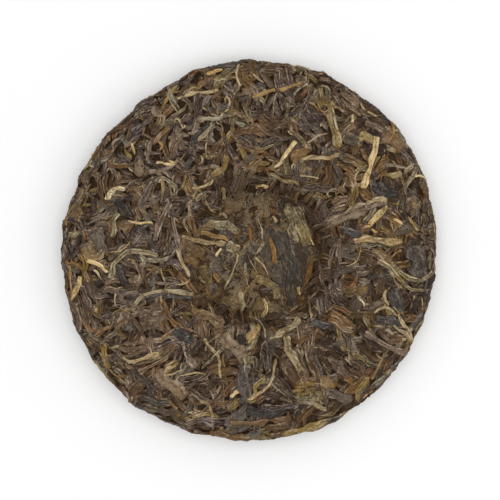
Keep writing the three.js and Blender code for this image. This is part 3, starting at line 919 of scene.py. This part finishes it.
    def shown_leaves(self, pile: Pile) -> None:
        """Lay the leaves that catch the eye.

        Args:
            pile: Where they are laid.
        """
        for shown in SHOWN:
            corners = np.array([self.form.peel(x, y) for x, y in shown.points])
            chords = np.concatenate([[0], np.cumsum(np.hypot(*np.diff(corners, axis=0).T))])
            count = max(6, int(chords[-1] / SAMPLE_STEP) + 1)
            places = np.linspace(0, chords[-1], count)
            straight = np.stack([np.interp(places, chords, corners[:, k]) for k in (0, 1)], axis=1)
            # The line is rounded at its points, over less where they lie close, and keeps its ends.
            rounded = stiffness(count, min(3.0, 0.3 * chords[-1] / (len(corners) - 1))) @ straight
            rounded += (straight[0] - rounded[0]) * np.linspace(1, 0, count)[:, None]
            rounded += (straight[-1] - rounded[-1]) * np.linspace(0, 1, count)[:, None]
            pile.drop(
                Leaf(
                    kind=shown.kind,
                    middle=rounded,
                    width=shown.width,
                    thickness=THICKNESS[shown.kind],
                    folds=shown.folds,
                    tapers=shown.tapers,
                    drift=0.5,
                    ragged=0.13 if shown.width < 3.5 else 0.17,
                    tone=shown.tone,
                    warmth=shown.warmth,
                    phase=float(self.draw.uniform(0, 2 * math.pi)),
                )
            )

    def lay(self) -> Pile:
        """Lay the whole pile.

        Returns:
            The pile.
        """
        pile = Pile(self.reach + self.margin)
        self.strewn_leaves(pile)
        if self.face is Face.UPPER:
            self.shown_leaves(pile)
        return pile


@dataclass(frozen=True)
class Press:
    """How the pile is pressed, and how much shade is painted in its gaps, at the rim and on the hollow's
    wall.

    Lengths are in millimetres; the bands are counted outwards from the widest part and from the lip.
    """

    even_reach: float = 7.0
    crest_limit: float = 0.8
    gap_limit: float = 1.8
    firmness: float = 0.58
    leaf_left: float = 0.86
    sunk: float = 0.75
    hollow_share: float = 0.64
    rim_share: float = 0.75
    flatness: float = 0.55
    flat_fold: float = 0.6
    lit_lift: float = 0.45
    dark_depth: float = 2.0
    rim_band: tuple[float, float] = (-7, 1)
    wall_band: tuple[float, ...] = (-8, -2, 3, 10)
    wall_shade: float = 0.52
    rim_shade: float = 0.3
    warps: tuple[Ripple, ...] = (
        Ripple((9, 20), 0.4, 11),
        Ripple((9, 20), 0.4, 12),
        Ripple((3.6, 6.5), 0.11, 13),
        Ripple((3.6, 6.5), 0.11, 14),
    )
    crumple: Ripple = Ripple((2.8, 6.5), 0.12, 15)

    def press(self, depth: np.ndarray) -> np.ndarray:
        """Press resting heights: gently near the mean, firmly far from it.

        Args:
            depth: Heights above the neighbourhood's mean.

        Returns:
            Pressed heights.
        """
        limit = np.where(depth > 0, self.crest_limit, self.gap_limit)
        return limit * np.tanh(depth * self.firmness / limit)

    def warp(self, flat: np.ndarray) -> np.ndarray:
        """Ruffle the pressed pile a little, all its leaves together.

        Args:
            flat: Points as x, y and height.

        Returns:
            The moved points.
        """
        x, y, lift = flat.T
        aside, up, finely_aside, finely_up = (ripple.at(x, y) for ripple in self.warps)
        return np.stack([x + aside + finely_aside, y + up + finely_up, lift + self.crumple.at(x, y)], axis=1)


@dataclass(frozen=True)
class LeafBlank:
    """A closed leaf before it is bent: rings of points from tip to tip."""

    top_points: int = 9
    under_points: int = 2
    steps: int = 10

    @property
    def sides(self) -> int:
        """Give the points in each ring."""
        return self.top_points + self.under_points

    @cached_property
    def layout(self) -> tuple[np.ndarray, np.ndarray, list[tuple[int, ...]]]:
        """Lay out the blank from a sphere whose poles are the tips.

        Returns:
            Each point's ring, its place in the ring, and the faces, which point outwards.
        """
        blank = bmesh.new()
        bmesh.ops.create_uvsphere(blank, u_segments=self.sides, v_segments=self.steps, radius=1.0)
        blank.verts.ensure_lookup_table()
        points = np.array([vert.co for vert in blank.verts])
        ring = np.rint(np.arccos(np.clip(-points[:, 2], -1, 1)) / math.pi * self.steps).astype(int)
        turn = np.arctan2(points[:, 1], points[:, 0]) / (2 * math.pi) * self.sides
        turn -= turn[ring == self.steps // 2].min()
        place = np.rint(turn).astype(int) % self.sides
        across, is_top = self.section_places()
        for vert, in_ring, at in zip(blank.verts, ring, place):
            is_tip = in_ring in (0, self.steps)
            side = 0.0 if is_tip else across[at]
            height = 0.0 if is_tip else (1 - side**2 if is_top[at] else UNDERSIDE)
            vert.co = (4 * in_ring / self.steps, side, height)
        bmesh.ops.recalc_face_normals(blank, faces=blank.faces)
        faces = [tuple(vert.index for vert in face.verts) for face in blank.faces]
        blank.free()
        return ring, place, faces

    def section_places(self) -> tuple[np.ndarray, np.ndarray]:
        """Give each point's place across the section, and whether it lies on top."""
        top = np.linspace(1, -1, self.top_points)
        under = np.linspace(-0.7, 0.7, self.under_points) if self.under_points > 1 else np.zeros(1)
        return np.concatenate([top, under]), np.arange(self.sides) < self.top_points


BLANKS = {
    TWIST: LeafBlank(),
    DARK: LeafBlank(),
    OLIVE: LeafBlank(),
    SLATE: LeafBlank(steps=9),
    FLAKE: LeafBlank(steps=13),
    BUD: LeafBlank(7, 2, 9),
    STALK: LeafBlank(5, 2, 10),
    RUSSET: LeafBlank(7, 2, 7),
    SHRED: LeafBlank(3, 1, 9),
    CRUMB: LeafBlank(4, 2, 4),
    MAT: LeafBlank(steps=13),
}


@dataclass
class LeafMesher:
    """Turns the leaves of one kind on one pile into one mesh."""

    form: CakeForm
    face: Face
    pile: Pile
    press: Press

    def __post_init__(self) -> None:
        """Work out the pile's neighbourhood means."""
        self.mean = self.pile.evened(self.press.even_reach)

    def bend(self, leaf: Leaf, blank: LeafBlank) -> tuple[np.ndarray, np.ndarray, np.ndarray]:
        """Bend a blank into a leaf.

        Args:
            leaf: The laid leaf.
            blank: The blank for its kind.

        Returns:
            Its points on the pile, as x, y and pressed height; their tone, warmth, painted shade and fold;
            and they also give their places across and along in millimetres, and across in half widths.
        """
        ring, place, _ = blank.layout
        across_table, is_top_table = blank.section_places()
        is_tip = (ring == 0) | (ring == blank.steps)
        share = ring / blank.steps
        eased = (1 - np.cos(math.pi * share)) / 2
        along = 0.55 * share + 0.45 * eased
        across = self.fold_places(leaf, blank, across_table)[place]
        is_top = is_top_table[place]
        drifted = across + np.where(is_top, leaf.drift * (along - 0.5) * (1 - across**2), 0.0)
        drifted = np.where(is_tip, 0.0, drifted)
        fold = np.where(is_top & ~is_tip, leaf.fold_height(drifted, along), 0.0)
        x, y = leaf.spot(drifted, along)
        mean = self.mean[self.pile.cells(x, y)]
        hollow, rim, shade = self.shade_at(x, y)
        pressed = self.press.press(leaf.base(drifted, along) - mean)
        body = leaf.thickness * leaf.fullness(along) * np.where(is_top, fold, UNDERSIDE)
        relief = 1 - (1 - self.press.hollow_share) * hollow - (1 - self.press.rim_share) * rim
        lift = relief * (pressed + self.press.leaf_left * body) - self.press.sunk
        # Leaves that lie low get painted shade, matted ones less, and the rim and the hollow's wall add
        # painted shade of their own.
        sinking = (self.press.lit_lift - lift) / self.press.dark_depth * (0.35 if leaf.kind is MAT else 1.0)
        depth = np.clip(sinking + shade, 0.0, 1.0)
        # Broad leaves on the hollow's floor are pressed so flat that their folds hardly show, and their
        # painted groove shade and ridge highlight are evened out.
        flatness = self.press.flatness * (1.0 if leaf.kind in (MAT, FLAKE) else 0.35)
        folded = fold + (self.press.flat_fold - fold) * flatness * hollow * is_top
        look = np.stack([np.full_like(x, leaf.tone), np.full_like(x, leaf.warmth), depth, folded], axis=1)
        # The phase gives each leaf its own strip of the grain.
        aside = drifted * leaf.width / 2 + 17 * leaf.phase
        margin = drifted * (1 - 0.25 * hollow)
        grain = np.stack([aside, along * leaf.length, margin], axis=1)
        return np.stack([x, y, lift], axis=1), look, grain

    def shade_at(self, x: np.ndarray, y: np.ndarray) -> tuple[np.ndarray, np.ndarray, np.ndarray]:
        """Tell how far places lie in the hollow and on the rim, and how much shade is painted there.

        Args:
            x: Places on the pile.
            y: Places on the pile.

        Returns:
            Shares of 1 on the hollow's floor, shares of 1 on the rim, and the shade painted on the rim and
            on the hollow's wall, which is open to the light at the left.
        """
        reach = np.hypot(x, y)
        rim_arc = self.form.rim_arc
        if self.face is Face.LOWER:
            rim_arc = self.form.length - rim_arc
        rim = smoothstep(reach, *(rim_arc + away for away in self.press.rim_band))
        shade = self.press.rim_shade * rim
        if self.face is Face.LOWER:
            return np.zeros_like(x), rim, shade
        foot, low, high, top = (self.form.hollow_radius + away for away in self.press.wall_band)
        on_wall = smoothstep(reach, foot, low) * (1 - smoothstep(reach, high, top))
        leftward, downward = (np.clip(-side / np.maximum(reach, 1), 0, 1) for side in (x, y))
        out_of_light = (1 - leftward**6) * (1 - 0.35 * downward**4)
        shade = shade + self.press.wall_shade * on_wall * out_of_light
        return self.form.on_floor(reach), rim, shade

    @staticmethod
    def fold_places(leaf: Leaf, blank: LeafBlank, even: np.ndarray) -> np.ndarray:
        """Place a section's points on the ridges and grooves of the leaf's folds.

        Args:
            leaf: The leaf.
            blank: Its blank.
            even: Evenly spread places, used where the blank has fewer points than the folds need.

        Returns:
            Places across for each point of a ring.
        """
        places = np.array(FOLDS[leaf.folds][0][::-1], float)
        if len(places) != blank.top_points:
            return even
        return np.concatenate([places, even[blank.top_points :]])

    def mesh(self, kind: LeafKind, leaves: list[Leaf]) -> bpy.types.Object:
        """Join leaves of a kind into one object.

        Args:
            kind: Their kind.
            leaves: The leaves.

        Returns:
            The object, with its UV map and attributes.
        """
        blank = BLANKS[kind]
        bent = [self.bend(leaf, blank) for leaf in leaves]
        flat = self.press.warp(np.concatenate([points for points, _, _ in bent]))
        placed = self.form.wrap(self.face, flat[:, 0], flat[:, 1], flat[:, 2])
        placed[:, 2] = rest_on_floor(placed[:, 2])
        faces = np.array(blank.layout[2], dtype=object)
        step = len(blank.layout[0])
        joined = [tuple(index + i * step for index in face) for i in range(len(leaves)) for face in faces]
        data = bpy.data.meshes.new(f"{kind.value}_{self.face.value}")
        data.from_pydata((placed * METRES).tolist(), [], joined)
        data.shade_smooth()
        look = np.concatenate([values for _, values, _ in bent]).astype(np.float32)
        tint = data.attributes.new("leaf", "FLOAT_COLOR", "POINT")
        tint.data.foreach_set("color", look.ravel())
        grain = np.concatenate([values for _, _, values in bent]).astype(np.float32)
        for name, values in (("fold", look[:, 3]), ("side", grain[:, 2])):
            extra = data.attributes.new(name, "FLOAT", "POINT")
            extra.data.foreach_set("value", np.ascontiguousarray(values))
        corners = np.empty(len(data.loops), dtype=np.int32)
        data.loops.foreach_get("vertex_index", corners)
        data.uv_layers.new(name="grain").uv.foreach_set("vector", grain[corners, :2].ravel())
        return put(data.name, data)


def put(name: str, data: bpy.types.ID) -> bpy.types.Object:
    """Put an object with this name and data into the scene."""
    thing = bpy.data.objects.new(name, data)
    bpy.context.scene.collection.objects.link(thing)
    return thing


def rest_on_floor(z: np.ndarray, soft: float = 0.5) -> np.ndarray:
    """Press points that would lie under the cake up to just above what it stands on.

    Args:
        z: Heights.
        soft: Height below which points are pressed.

    Returns:
        Heights that are all above 0 and keep their order.
    """
    return np.where(z > soft, z, soft * np.exp(np.minimum(z - soft, 0) / soft))


class Signal:
    """A value in a material's nodes, so that shader maths reads as an expression."""

    def __init__(self, graph: Graph, socket: bpy.types.NodeSocket) -> None:
        """Wrap an output socket of a graph."""
        self.graph = graph
        self.socket = socket

    def maths(self, operation: str, first: object, second: object, clamp: bool = False) -> Signal:
        """Add a Math node.

        Args:
            operation: Its operation.
            first: Its first value.
            second: Its second value.
            clamp: Whether the result stays between 0 and 1.

        Returns:
            The result.
        """
        settings = {"operation": operation, "use_clamp": clamp}
        return self.graph.node("ShaderNodeMath", settings, {0: first, 1: second})

    def __add__(self, other: object) -> Signal:
        """Add a value."""
        return self.maths("ADD", self, other)

    def __radd__(self, other: object) -> Signal:
        """Add to a value."""
        return self.maths("ADD", other, self)

    def __sub__(self, other: object) -> Signal:
        """Take a value away."""
        return self.maths("SUBTRACT", self, other)

    def __rsub__(self, other: object) -> Signal:
        """Take away from a value."""
        return self.maths("SUBTRACT", other, self)

    def __mul__(self, other: object) -> Signal:
        """Multiply by a value."""
        return self.maths("MULTIPLY", self, other)

    def __rmul__(self, other: object) -> Signal:
        """Multiply a value."""
        return self.maths("MULTIPLY", other, self)

    def clamped(self) -> Signal:
        """Keep the value between 0 and 1."""
        return self.maths("ADD", self, 0.0, clamp=True)


class Graph:
    """The node tree of one material."""

    def __init__(self, name: str) -> None:
        """Start a material of this name with only its output.

        Args:
            name: The material's name.
        """
        self.material = bpy.data.materials.new(name)
        self.material.use_nodes = True
        self.tree = self.material.node_tree
        self.tree.nodes.clear()

    def node(self, kind: str, settings: dict, sockets: dict, output: int | str = 0) -> Signal | None:
        """Add a node.

        Args:
            kind: The node's type.
            settings: Its properties, set first; "stops" are a ramp's positions and colours.
            sockets: Values or signals for its inputs, by name or number.
            output: The output to return.

        Returns:
            That output, or None for a node that has none.
        """
        made = self.tree.nodes.new(kind)
        for name, value in settings.items():
            if name == "stops":
                self.set_stops(made.color_ramp, value)
            else:
                setattr(made, name, value)
        for name, value in sockets.items():
            if isinstance(value, Signal):
                self.tree.links.new(value.socket, made.inputs[name])
            else:
                made.inputs[name].default_value = value
        return Signal(self, made.outputs[output]) if made.outputs else None

    @staticmethod
    def set_stops(ramp: bpy.types.ColorRamp, stops: list[tuple[float, tuple]]) -> None:
        """Set a ramp's stops.

        Args:
            ramp: The ramp.
            stops: Positions and colours in order.
        """
        while len(ramp.elements) < len(stops):
            ramp.elements.new(0.5)
        for element, (position, colour) in zip(ramp.elements, stops):
            element.position = position
            element.color = colour

    def mix(self, factor: object, first: object, second: object, blend: str = "MIX") -> Signal:
        """Mix two colours.

        Args:
            factor: How much of the second.
            first: The first colour.
            second: The second colour.
            blend: The blend type.

        Returns:
            The mixed colour.
        """
        settings = {"data_type": "RGBA", "blend_type": blend}
        return self.node("ShaderNodeMix", settings, {0: factor, 6: first, 7: second}, 2)

    def noise(self, vector: Signal, scale: float, detail: float = 3.0, warp: float = 0.0) -> Signal:
        """Add a noise, centred on 0.5.

        Args:
            vector: Where it is read.
            scale: Its scale.
            detail: Its detail.
            warp: Its distortion.

        Returns:
            Its value.
        """
        sockets = {"Vector": vector, "Scale": scale, "Detail": detail, "Distortion": warp}
        return self.node("ShaderNodeTexNoise", {}, sockets, "Fac")

    def rise(self, value: object, low: float, high: float) -> Signal:
        """Rise smoothly from 0 to 1 between two values."""
        settings = {"interpolation_type": "SMOOTHSTEP"}
        return self.node("ShaderNodeMapRange", settings, {"Value": value, "From Min": low, "From Max": high})

    def finish(self, shader: dict, height: Signal, bump: float) -> bpy.types.Material:
        """End the tree with a surface and its bump.

        Args:
            shader: Values and signals of the surface.
            height: The bump's height.
            bump: The height's size in metres.

        Returns:
            The material.
        """
        normal = self.node("ShaderNodeBump", {}, {"Strength": 1.0, "Distance": bump, "Height": height})
        surface = self.node("ShaderNodeBsdfPrincipled", {}, {**shader, "Normal": normal})
        self.node("ShaderNodeOutputMaterial", {}, {"Surface": surface})
        return self.material


def linear(red: float, green: float, blue: float, gain: float = 1.0) -> tuple[float, ...]:
    """Turn a colour as seen on a screen into the light that it stands for.

    Args:
        red: From 0 to 255.
        green: From 0 to 255.
        blue: From 0 to 255.
        gain: How much lighter to make it.

    Returns:
        Red, green and blue in linear light, and an alpha of 1.
    """
    shares = [value / 255 for value in (red, green, blue)]
    light = [v / 12.92 if v <= 0.04045 else ((v + 0.055) / 1.055) ** 2.4 for v in shares]
    return (*[min(1.0, value * gain) for value in light], 1.0)


# What the coolest leaves' colour is multiplied by, and the painted shade colour deep between leaves
COOLING = (0.85, 0.98, 1.22, 1.0)
GAP_SHADE_COLOUR = linear(52, 34, 17)


@dataclass(frozen=True)
class Grain:
    """A noise in a leaf's surface, and how much it shades and lifts the leaf.

    A drawn out one follows the leaf's length, and the others lie still in the cake.
    """

    scale: float
    detail: float
    warp: float
    shading: float
    height: float
    drawn_out: float | None = None

    def read(self, graph: Graph, lengthwise: Signal, place: Signal) -> Signal:
        """Add the noise to a graph.

        Args:
            graph: The graph.
            lengthwise: Places across and along the leaf.
            place: Places in the cake.

        Returns:
            The noise, centred on 0.5.
        """
        if self.drawn_out is not None:
            sockets = {"Vector": lengthwise, "Scale": (1.0, self.drawn_out, 1.0)}
            place = graph.node("ShaderNodeMapping", {}, sockets)
        return graph.noise(place, self.scale, self.detail, self.warp)


# Fibres, blotches, specks and wrinkles
GRAINS = (
    Grain(2.2, 4.0, 0.4, shading=1.0, height=0.6, drawn_out=0.1),
    Grain(210.0, 4.0, 0.6, shading=1.3, height=0.7),
    Grain(900.0, 2.0, 0.0, shading=1.9, height=0.35),
    Grain(0.8, 3.0, 1.2, shading=0.9, height=1.2, drawn_out=0.4),
)


@dataclass(frozen=True)
class LeafFinish:
    """The look of a kind of leaf: colours as seen on a screen, from its dark leaves to its light ones."""

    name: str
    dark: tuple[int, int, int]
    body: tuple[int, int, int]
    light: tuple[int, int, int]
    # The ridge colour is a painted highlight on the ridges, mixed with the pale of a rolled margin
    ridge: tuple[int, int, int]
    warm: tuple[int, int, int]
    roughness: float = 0.55
    coat: float = 0.0
    specular: float = 0.16
    ridge_share: float = 0.85
    # How dark grooves and tucked margins are painted, as painted shade
    groove_shade: float = 0.8
    hair: float = 0.12
    gain: float = 1.38
    bump: float = 0.0004

    def colour(self, name: str) -> tuple[float, ...]:
        """Give one of the finish's colours in linear light."""
        return linear(*getattr(self, name), self.gain)

    def material(self) -> bpy.types.Material:
        """Make the finish's material.

        Returns:
            A material that reads the leaf's own attributes and UV map.
        """
        graph = Graph(self.name)
        leaf = graph.node("ShaderNodeAttribute", {"attribute_name": "leaf"}, {}, "Color")
        split = graph.node("ShaderNodeSeparateColor", {}, {"Color": leaf}).socket.node
        tone, warmth, depth = (Signal(graph, socket) for socket in split.outputs)
        fold = graph.node("ShaderNodeAttribute", {"attribute_name": "fold"}, {}, "Fac")
        side = graph.node("ShaderNodeAttribute", {"attribute_name": "side"}, {}, "Fac")
        lengthwise = graph.node("ShaderNodeUVMap", {"uv_map": "grain"}, {})
        place = graph.node("ShaderNodeTexCoord", {}, {}, "Object")
        noises = [grain.read(graph, lengthwise, place) for grain in GRAINS]
        fibre, mottle, speckle, _ = noises
        stain = graph.rise(graph.noise(place, 62.0, 3.0, 0.5), 0.46, 0.66)
        # The leaf's tone, varied by its grain, picks a colour from dark to light.
        varied = ((value - 0.5) * grain.shading for grain, value in zip(GRAINS, noises))
        level = sum(varied, 0.46 + tone * 0.5)
        stops = [(0.0, self.colour("dark")), (0.5, self.colour("body")), (1.0, self.colour("light"))]
        body = graph.node("ShaderNodeValToRGB", {"stops": stops}, {"Fac": level.clamped()})
        cooled = graph.mix((warmth * -1.0).clamped(), body, COOLING, "MULTIPLY")
        warmed = graph.mix((warmth * 0.7 + stain * mottle * 0.7).clamped(), cooled, self.colour("warm"))
        # One margin of a leaf is rolled and palest, and the ridges get a painted highlight, mostly on that
        # side.
        rolled = (0.25 + graph.rise(side, 0.05, 0.5) * 0.75) * (0.5 + graph.rise(tone, -0.6, 0.4) * 0.6)
        ridge_highlight_and_wear = graph.rise(fold, 0.6, 0.95) * graph.rise(fibre + (mottle - 0.5) * 0.8, 0.42, 0.6) * rolled
        hair = graph.rise(fibre, 0.58, 0.68) * self.hair
        ridged = graph.mix((ridge_highlight_and_wear * self.ridge_share + hair).clamped(), warmed, self.colour("ridge"))
        # Grooves, tucked margins and gaps between leaves are painted dark: painted shade where shade falls.
        lit = graph.rise(fold, 0.1, 0.7) * (1.0 - graph.rise(side * side, 0.6, 1.0) * 0.8)
        groove_shade = (1.0 - lit) * self.groove_shade
        gap_shade = graph.rise(depth + (speckle - 0.5) * 0.15, 0.24, 1.3)
        shaded = graph.mix((groove_shade + gap_shade * (1.0 - groove_shade)).clamped(), ridged, GAP_SHADE_COLOUR)
        roughness = (self.roughness + (mottle - 0.5) * 0.35 + depth * 0.3).clamped()
        shader = {"Base Color": shaded, "Roughness": roughness, "Coat Weight": self.coat}
        shader["Specular IOR Level"] = self.specular
        height = sum(value * grain.height for grain, value in zip(GRAINS, noises))
        return graph.finish(shader, height, self.bump)


FINISHES = {
    TWIST: LeafFinish(
        "dried brown leaf", (46, 33, 24), (76, 62, 53), (112, 97, 84), (162, 146, 126), (106, 76, 36)
    ),
    DARK: LeafFinish(
        "dark brown leaf", (38, 28, 22), (60, 48, 41), (88, 75, 64), (138, 122, 103), (88, 63, 34)
    ),
    OLIVE: LeafFinish(
        "olive leaf", (49, 40, 25), (89, 77, 57), (133, 120, 93), (172, 159, 131), (120, 94, 37)
    ),
    SLATE: LeafFinish(
        "slate leaf",
        (36, 29, 24),
        (60, 52, 44),
        (90, 81, 69),
        (132, 121, 104),
        (76, 61, 43),
        roughness=0.5,
        specular=0.2,
        ridge_share=0.5,
    ),
    FLAKE: LeafFinish(
        "broad brown leaf",
        (46, 34, 24),
        (76, 61, 48),
        (112, 96, 78),
        (156, 139, 115),
        (110, 84, 46),
        ridge_share=0.6,
    ),
    BUD: LeafFinish(
        "golden bud", (104, 83, 50), (158, 136, 96), (194, 173, 130), (216, 200, 162), (166, 126, 58), 0.65
    ),
    STALK: LeafFinish(
        "tan stalk", (78, 62, 41), (120, 103, 75), (162, 145, 112), (190, 172, 138), (134, 102, 50), 0.6
    ),
    RUSSET: LeafFinish(
        "russet stalk", (52, 36, 22), (90, 68, 40), (136, 109, 70), (164, 136, 94), (118, 78, 32)
    ),
    SHRED: LeafFinish(
        "leaf shred", (66, 53, 37), (108, 91, 67), (156, 138, 107), (170, 152, 120), (120, 90, 56), 0.65
    ),
    CRUMB: LeafFinish(
        "leaf crumb", (50, 38, 26), (86, 69, 50), (140, 120, 88), (154, 135, 104), (116, 84, 50), 0.65
    ),
    MAT: LeafFinish(
        "matted leaf",
        (36, 29, 22),
        (61, 52, 41),
        (93, 81, 64),
        (140, 126, 101),
        (98, 79, 47),
        roughness=0.42,
        coat=0.06,
        specular=0.2,
        ridge_share=0.45,
        groove_shade=0.65,
        hair=0.3,
    ),
}


@dataclass
class PressedCore:
    """The pressed mass that shows dark between the leaves, its dark colour partly painted shade of the gaps.
    """

    form: CakeForm
    sunk: float = 1.8
    hollow_rise: float = 0.75
    relief: float = 0.5
    lowest: float = 0.9
    rings: int = 132
    spokes: int = 320

    @cached_property
    def samples(self) -> tuple[np.ndarray, np.ndarray, np.ndarray]:
        """Sample the form's section evenly: arc lengths, radii and heights."""
        arcs = np.linspace(0.0, self.form.length, self.rings)
        radii, heights = (np.interp(arcs, self.form.section[0], row) for row in self.form.section[1:3])
        return arcs, radii, heights

    def build(self) -> bpy.types.Object:
        """Spin the core from the form's section and roughen it.

        Returns:
            The core.
        """
        core = bmesh.new()
        verts = [core.verts.new((radius, 0.0, height)) for _, radius, height in zip(*self.samples)]
        edges = [core.edges.new(pair) for pair in zip(verts, verts[1:])]
        bmesh.ops.spin(
            core,
            geom=verts + edges,
            axis=(0, 0, 1),
            cent=(0, 0, 0),
            angle=2 * math.pi,
            steps=self.spokes,
            use_merge=True,
        )
        bmesh.ops.remove_doubles(core, verts=core.verts, dist=1e-4)
        points = np.array([vert.co for vert in core.verts])
        bumps = np.array([noise.fractal(Vector(point) * 0.45, 1.0, 2.0, 3) for point in points])
        angle = np.arctan2(points[:, 1], points[:, 0])
        arc = self.arc_of(np.hypot(points[:, 0], points[:, 1]), points[:, 2])
        # The flat leaves of the hollow lie close on the core, and light reaches it there.
        in_hollow = self.form.on_floor(arc)
        lift = self.relief * bumps - self.sunk + self.hollow_rise * in_hollow
        placed = self.form.place(arc, angle, lift)
        placed[:, 2] = np.maximum(placed[:, 2], self.lowest)
        for vert, place in zip(core.verts, placed * METRES):
            vert.co = place
        bmesh.ops.recalc_face_normals(core, faces=core.faces)
        data = bpy.data.meshes.new("pressed_core")
        core.to_mesh(data)
        core.free()
        data.shade_smooth()
        # The lit attribute marks the hollow, where the core is painted lighter, as painted light.
        lit = data.attributes.new("lit", "FLOAT", "POINT")
        lit.data.foreach_set("value", in_hollow.astype(np.float32))
        data.materials.append(self.material())
        return put("pressed_core", data)

    def arc_of(self, radius: np.ndarray, height: np.ndarray) -> np.ndarray:
        """Find the arc lengths of points on the bare section.

        Args:
            radius: Their radii.
            height: Their heights.

        Returns:
            Arc lengths of the nearest samples of the section.
        """
        arcs, radii, heights = self.samples
        away = (radius[:, None] - radii) ** 2 + (height[:, None] - heights) ** 2
        return arcs[np.argmin(away, axis=1)]

    @staticmethod
    def material() -> bpy.types.Material:
        """Make the dark, crumbly look between leaves, partly painted shade, and painted lighter in the
        hollow.
        """
        graph = Graph("pressed leaf mass")
        place = graph.node("ShaderNodeTexCoord", {}, {}, "Object")
        crumb = graph.noise(place, 700.0, 4.0)
        patch = graph.noise(place, 160.0, 2.0)
        lit = graph.node("ShaderNodeAttribute", {"attribute_name": "lit"}, {}, "Fac")
        stops = [(0.25, linear(30, 21, 12)), (0.6, linear(58, 43, 28)), (0.85, linear(88, 69, 48))]
        # Painted light: the core is a little lighter in the hollow.
        level = crumb * 0.7 + patch * 0.3 + lit * 0.1
        colour = graph.node("ShaderNodeValToRGB", {"stops": stops}, {"Fac": level})
        shader = {"Base Color": colour, "Roughness": 0.8, "Specular IOR Level": 0.1}
        return graph.finish(shader, crumb, 0.0008)


@dataclass
class TeaCake:
    """The whole cake: its core and the leaves on both faces."""

    form: CakeForm = field(default_factory=CakeForm)
    press: Press = field(default_factory=Press)
    upper_counts: tuple[int, int, int] = (2400, 600, 420)
    lower_counts: tuple[int, int, int] = (1900, 350, 200)
    upper_overlap: float = 5.0
    lower_overlap: float = 1.0
    coarser: float = 0.18

    def layers(self) -> list[LeafLayer]:
        """Give the layers of the two faces, which overlap a little at the rim."""
        draw = np.random.default_rng(SEED)
        upper = self.form.rim_arc + self.upper_overlap
        lower = self.form.length - self.form.rim_arc + self.lower_overlap
        return [
            LeafLayer(Face.UPPER, self.form, draw, upper, *self.upper_counts, coarser=self.coarser),
            LeafLayer(Face.LOWER, self.form, draw, lower, *self.lower_counts),
        ]

    def build(self) -> list[bpy.types.Object]:
        """Build every piece.

        Returns:
            The pieces.
        """
        pieces = [PressedCore(self.form).build()]
        materials = {kind: finish.material() for kind, finish in FINISHES.items()}
        for layer in self.layers():
            pieces += self.dress(layer, materials)
        return pieces

    def dress(self, layer: LeafLayer, materials: dict) -> list[bpy.types.Object]:
        """Lay the leaves of a face and make them into pieces.

        Args:
            layer: The face's layer.
            materials: The material of each kind of leaf.

        Returns:
            One piece for each kind, of the leaves that show.
        """
        pile = layer.lay()
        seen = pile.seen()
        mesher = LeafMesher(self.form, layer.face, pile, self.press)
        pieces = []
        for kind in LeafKind:
            kept = [
                leaf
                for leaf, cells in zip(pile.leaves, seen)
                if leaf.kind is kind and cells >= layer.least_seen * min(1, leaf.width / 2)
            ]
            if not kept:
                continue
            piece = mesher.mesh(kind, kept)
            piece.data.materials.append(materials[kind])
            pieces.append(piece)
            triangles = sum(len(face.vertices) - 2 for face in piece.data.polygons)
            log.info("%s: %d leaves, %d triangles", piece.name, len(kept), triangles)
        return pieces


@dataclass(frozen=True)
class Panel:
    """A square light that faces the cake: its place and side in metres, and its power in watts."""

    name: str
    place: tuple[float, float, float]
    size: float
    power: float

    def hang(self) -> None:
        """Hang the light."""
        lamp = bpy.data.lights.new(self.name, "AREA")
        lamp.shape = "SQUARE"
        lamp.size = self.size
        lamp.energy = self.power
        thing = put(self.name, lamp)
        thing.location = self.place
        thing.rotation_euler = Vector(self.place).to_track_quat("Z", "Y").to_euler()


@dataclass(frozen=True)
class Studio:
    """The pale floor, the soft light and the camera above, in metres."""

    floor_size: float = 6.0
    floor_colour: tuple[float, ...] = (0.94, 0.94, 0.94, 1.0)
    lens: float = 100.0
    sensor: float = 36.0
    frame_width: float = 0.2655
    centre_aside: tuple[float, float] = (-0.00021, 0.0009)
    ambient: float = 0.76
    panels: tuple[Panel, ...] = (
        Panel("overhead light", (0.0, 0.0, 1.3), 1.2, 6.0),
        Panel("key light", (0.85, -0.25, 0.75), 0.35, 1.0),
    )

    def floor(self) -> None:
        """Lay the floor."""
        data = bpy.data.meshes.new("floor")
        sheet = bmesh.new()
        bmesh.ops.create_grid(sheet, x_segments=8, y_segments=8, size=self.floor_size / 2)
        sheet.to_mesh(data)
        sheet.free()
        graph = Graph("pale floor")
        place = graph.node("ShaderNodeTexCoord", {}, {}, "Object")
        grain = graph.noise(place, 400.0, 2.0)
        shader = {"Base Color": self.floor_colour, "Roughness": 0.9}
        data.materials.append(graph.finish(shader, grain, 0.00002))
        put("floor", data)

    def lights(self) -> None:
        """Hang a wide soft light above and a weaker one to the lower right."""
        world = bpy.data.worlds.new("soft room")
        world.use_nodes = True
        room = world.node_tree.nodes["Background"]
        room.inputs["Color"].default_value = (1.0, 1.0, 1.0, 1.0)
        room.inputs["Strength"].default_value = self.ambient
        bpy.context.scene.world = world
        for panel in self.panels:
            panel.hang()

    def camera(self, rim_z: float) -> None:
        """Hang the camera straight above the cake.

        Args:
            rim_z: Height of the rim, where the frame has its width, in metres.
        """
        data = bpy.data.cameras.new("camera")
        data.lens = self.lens
        data.sensor_width = self.sensor
        data.clip_start = 0.01
        away = self.frame_width * self.lens / self.sensor
        camera = put("camera", data)
        camera.location = (*self.centre_aside, rim_z + away)
        bpy.context.scene.camera = camera

    def build(self, rim_z: float) -> None:
        """Set up the whole studio.

        Args:
            rim_z: Height of the cake's rim in metres.
        """
        self.camera(rim_z)
        self.floor()
        self.lights()
        bpy.context.scene.view_settings.view_transform = "Standard"


def main() -> None:
    """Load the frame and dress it."""
    logging.basicConfig(level=logging.INFO, format="%(message)s")
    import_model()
    cake = TeaCake()
    pieces = cake.build()
    for piece in pieces:
        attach(piece, BODY)
        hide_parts(NODE)
    Studio().build(cake.form.rim_z * METRES)


if __name__ == "__main__":
    main()
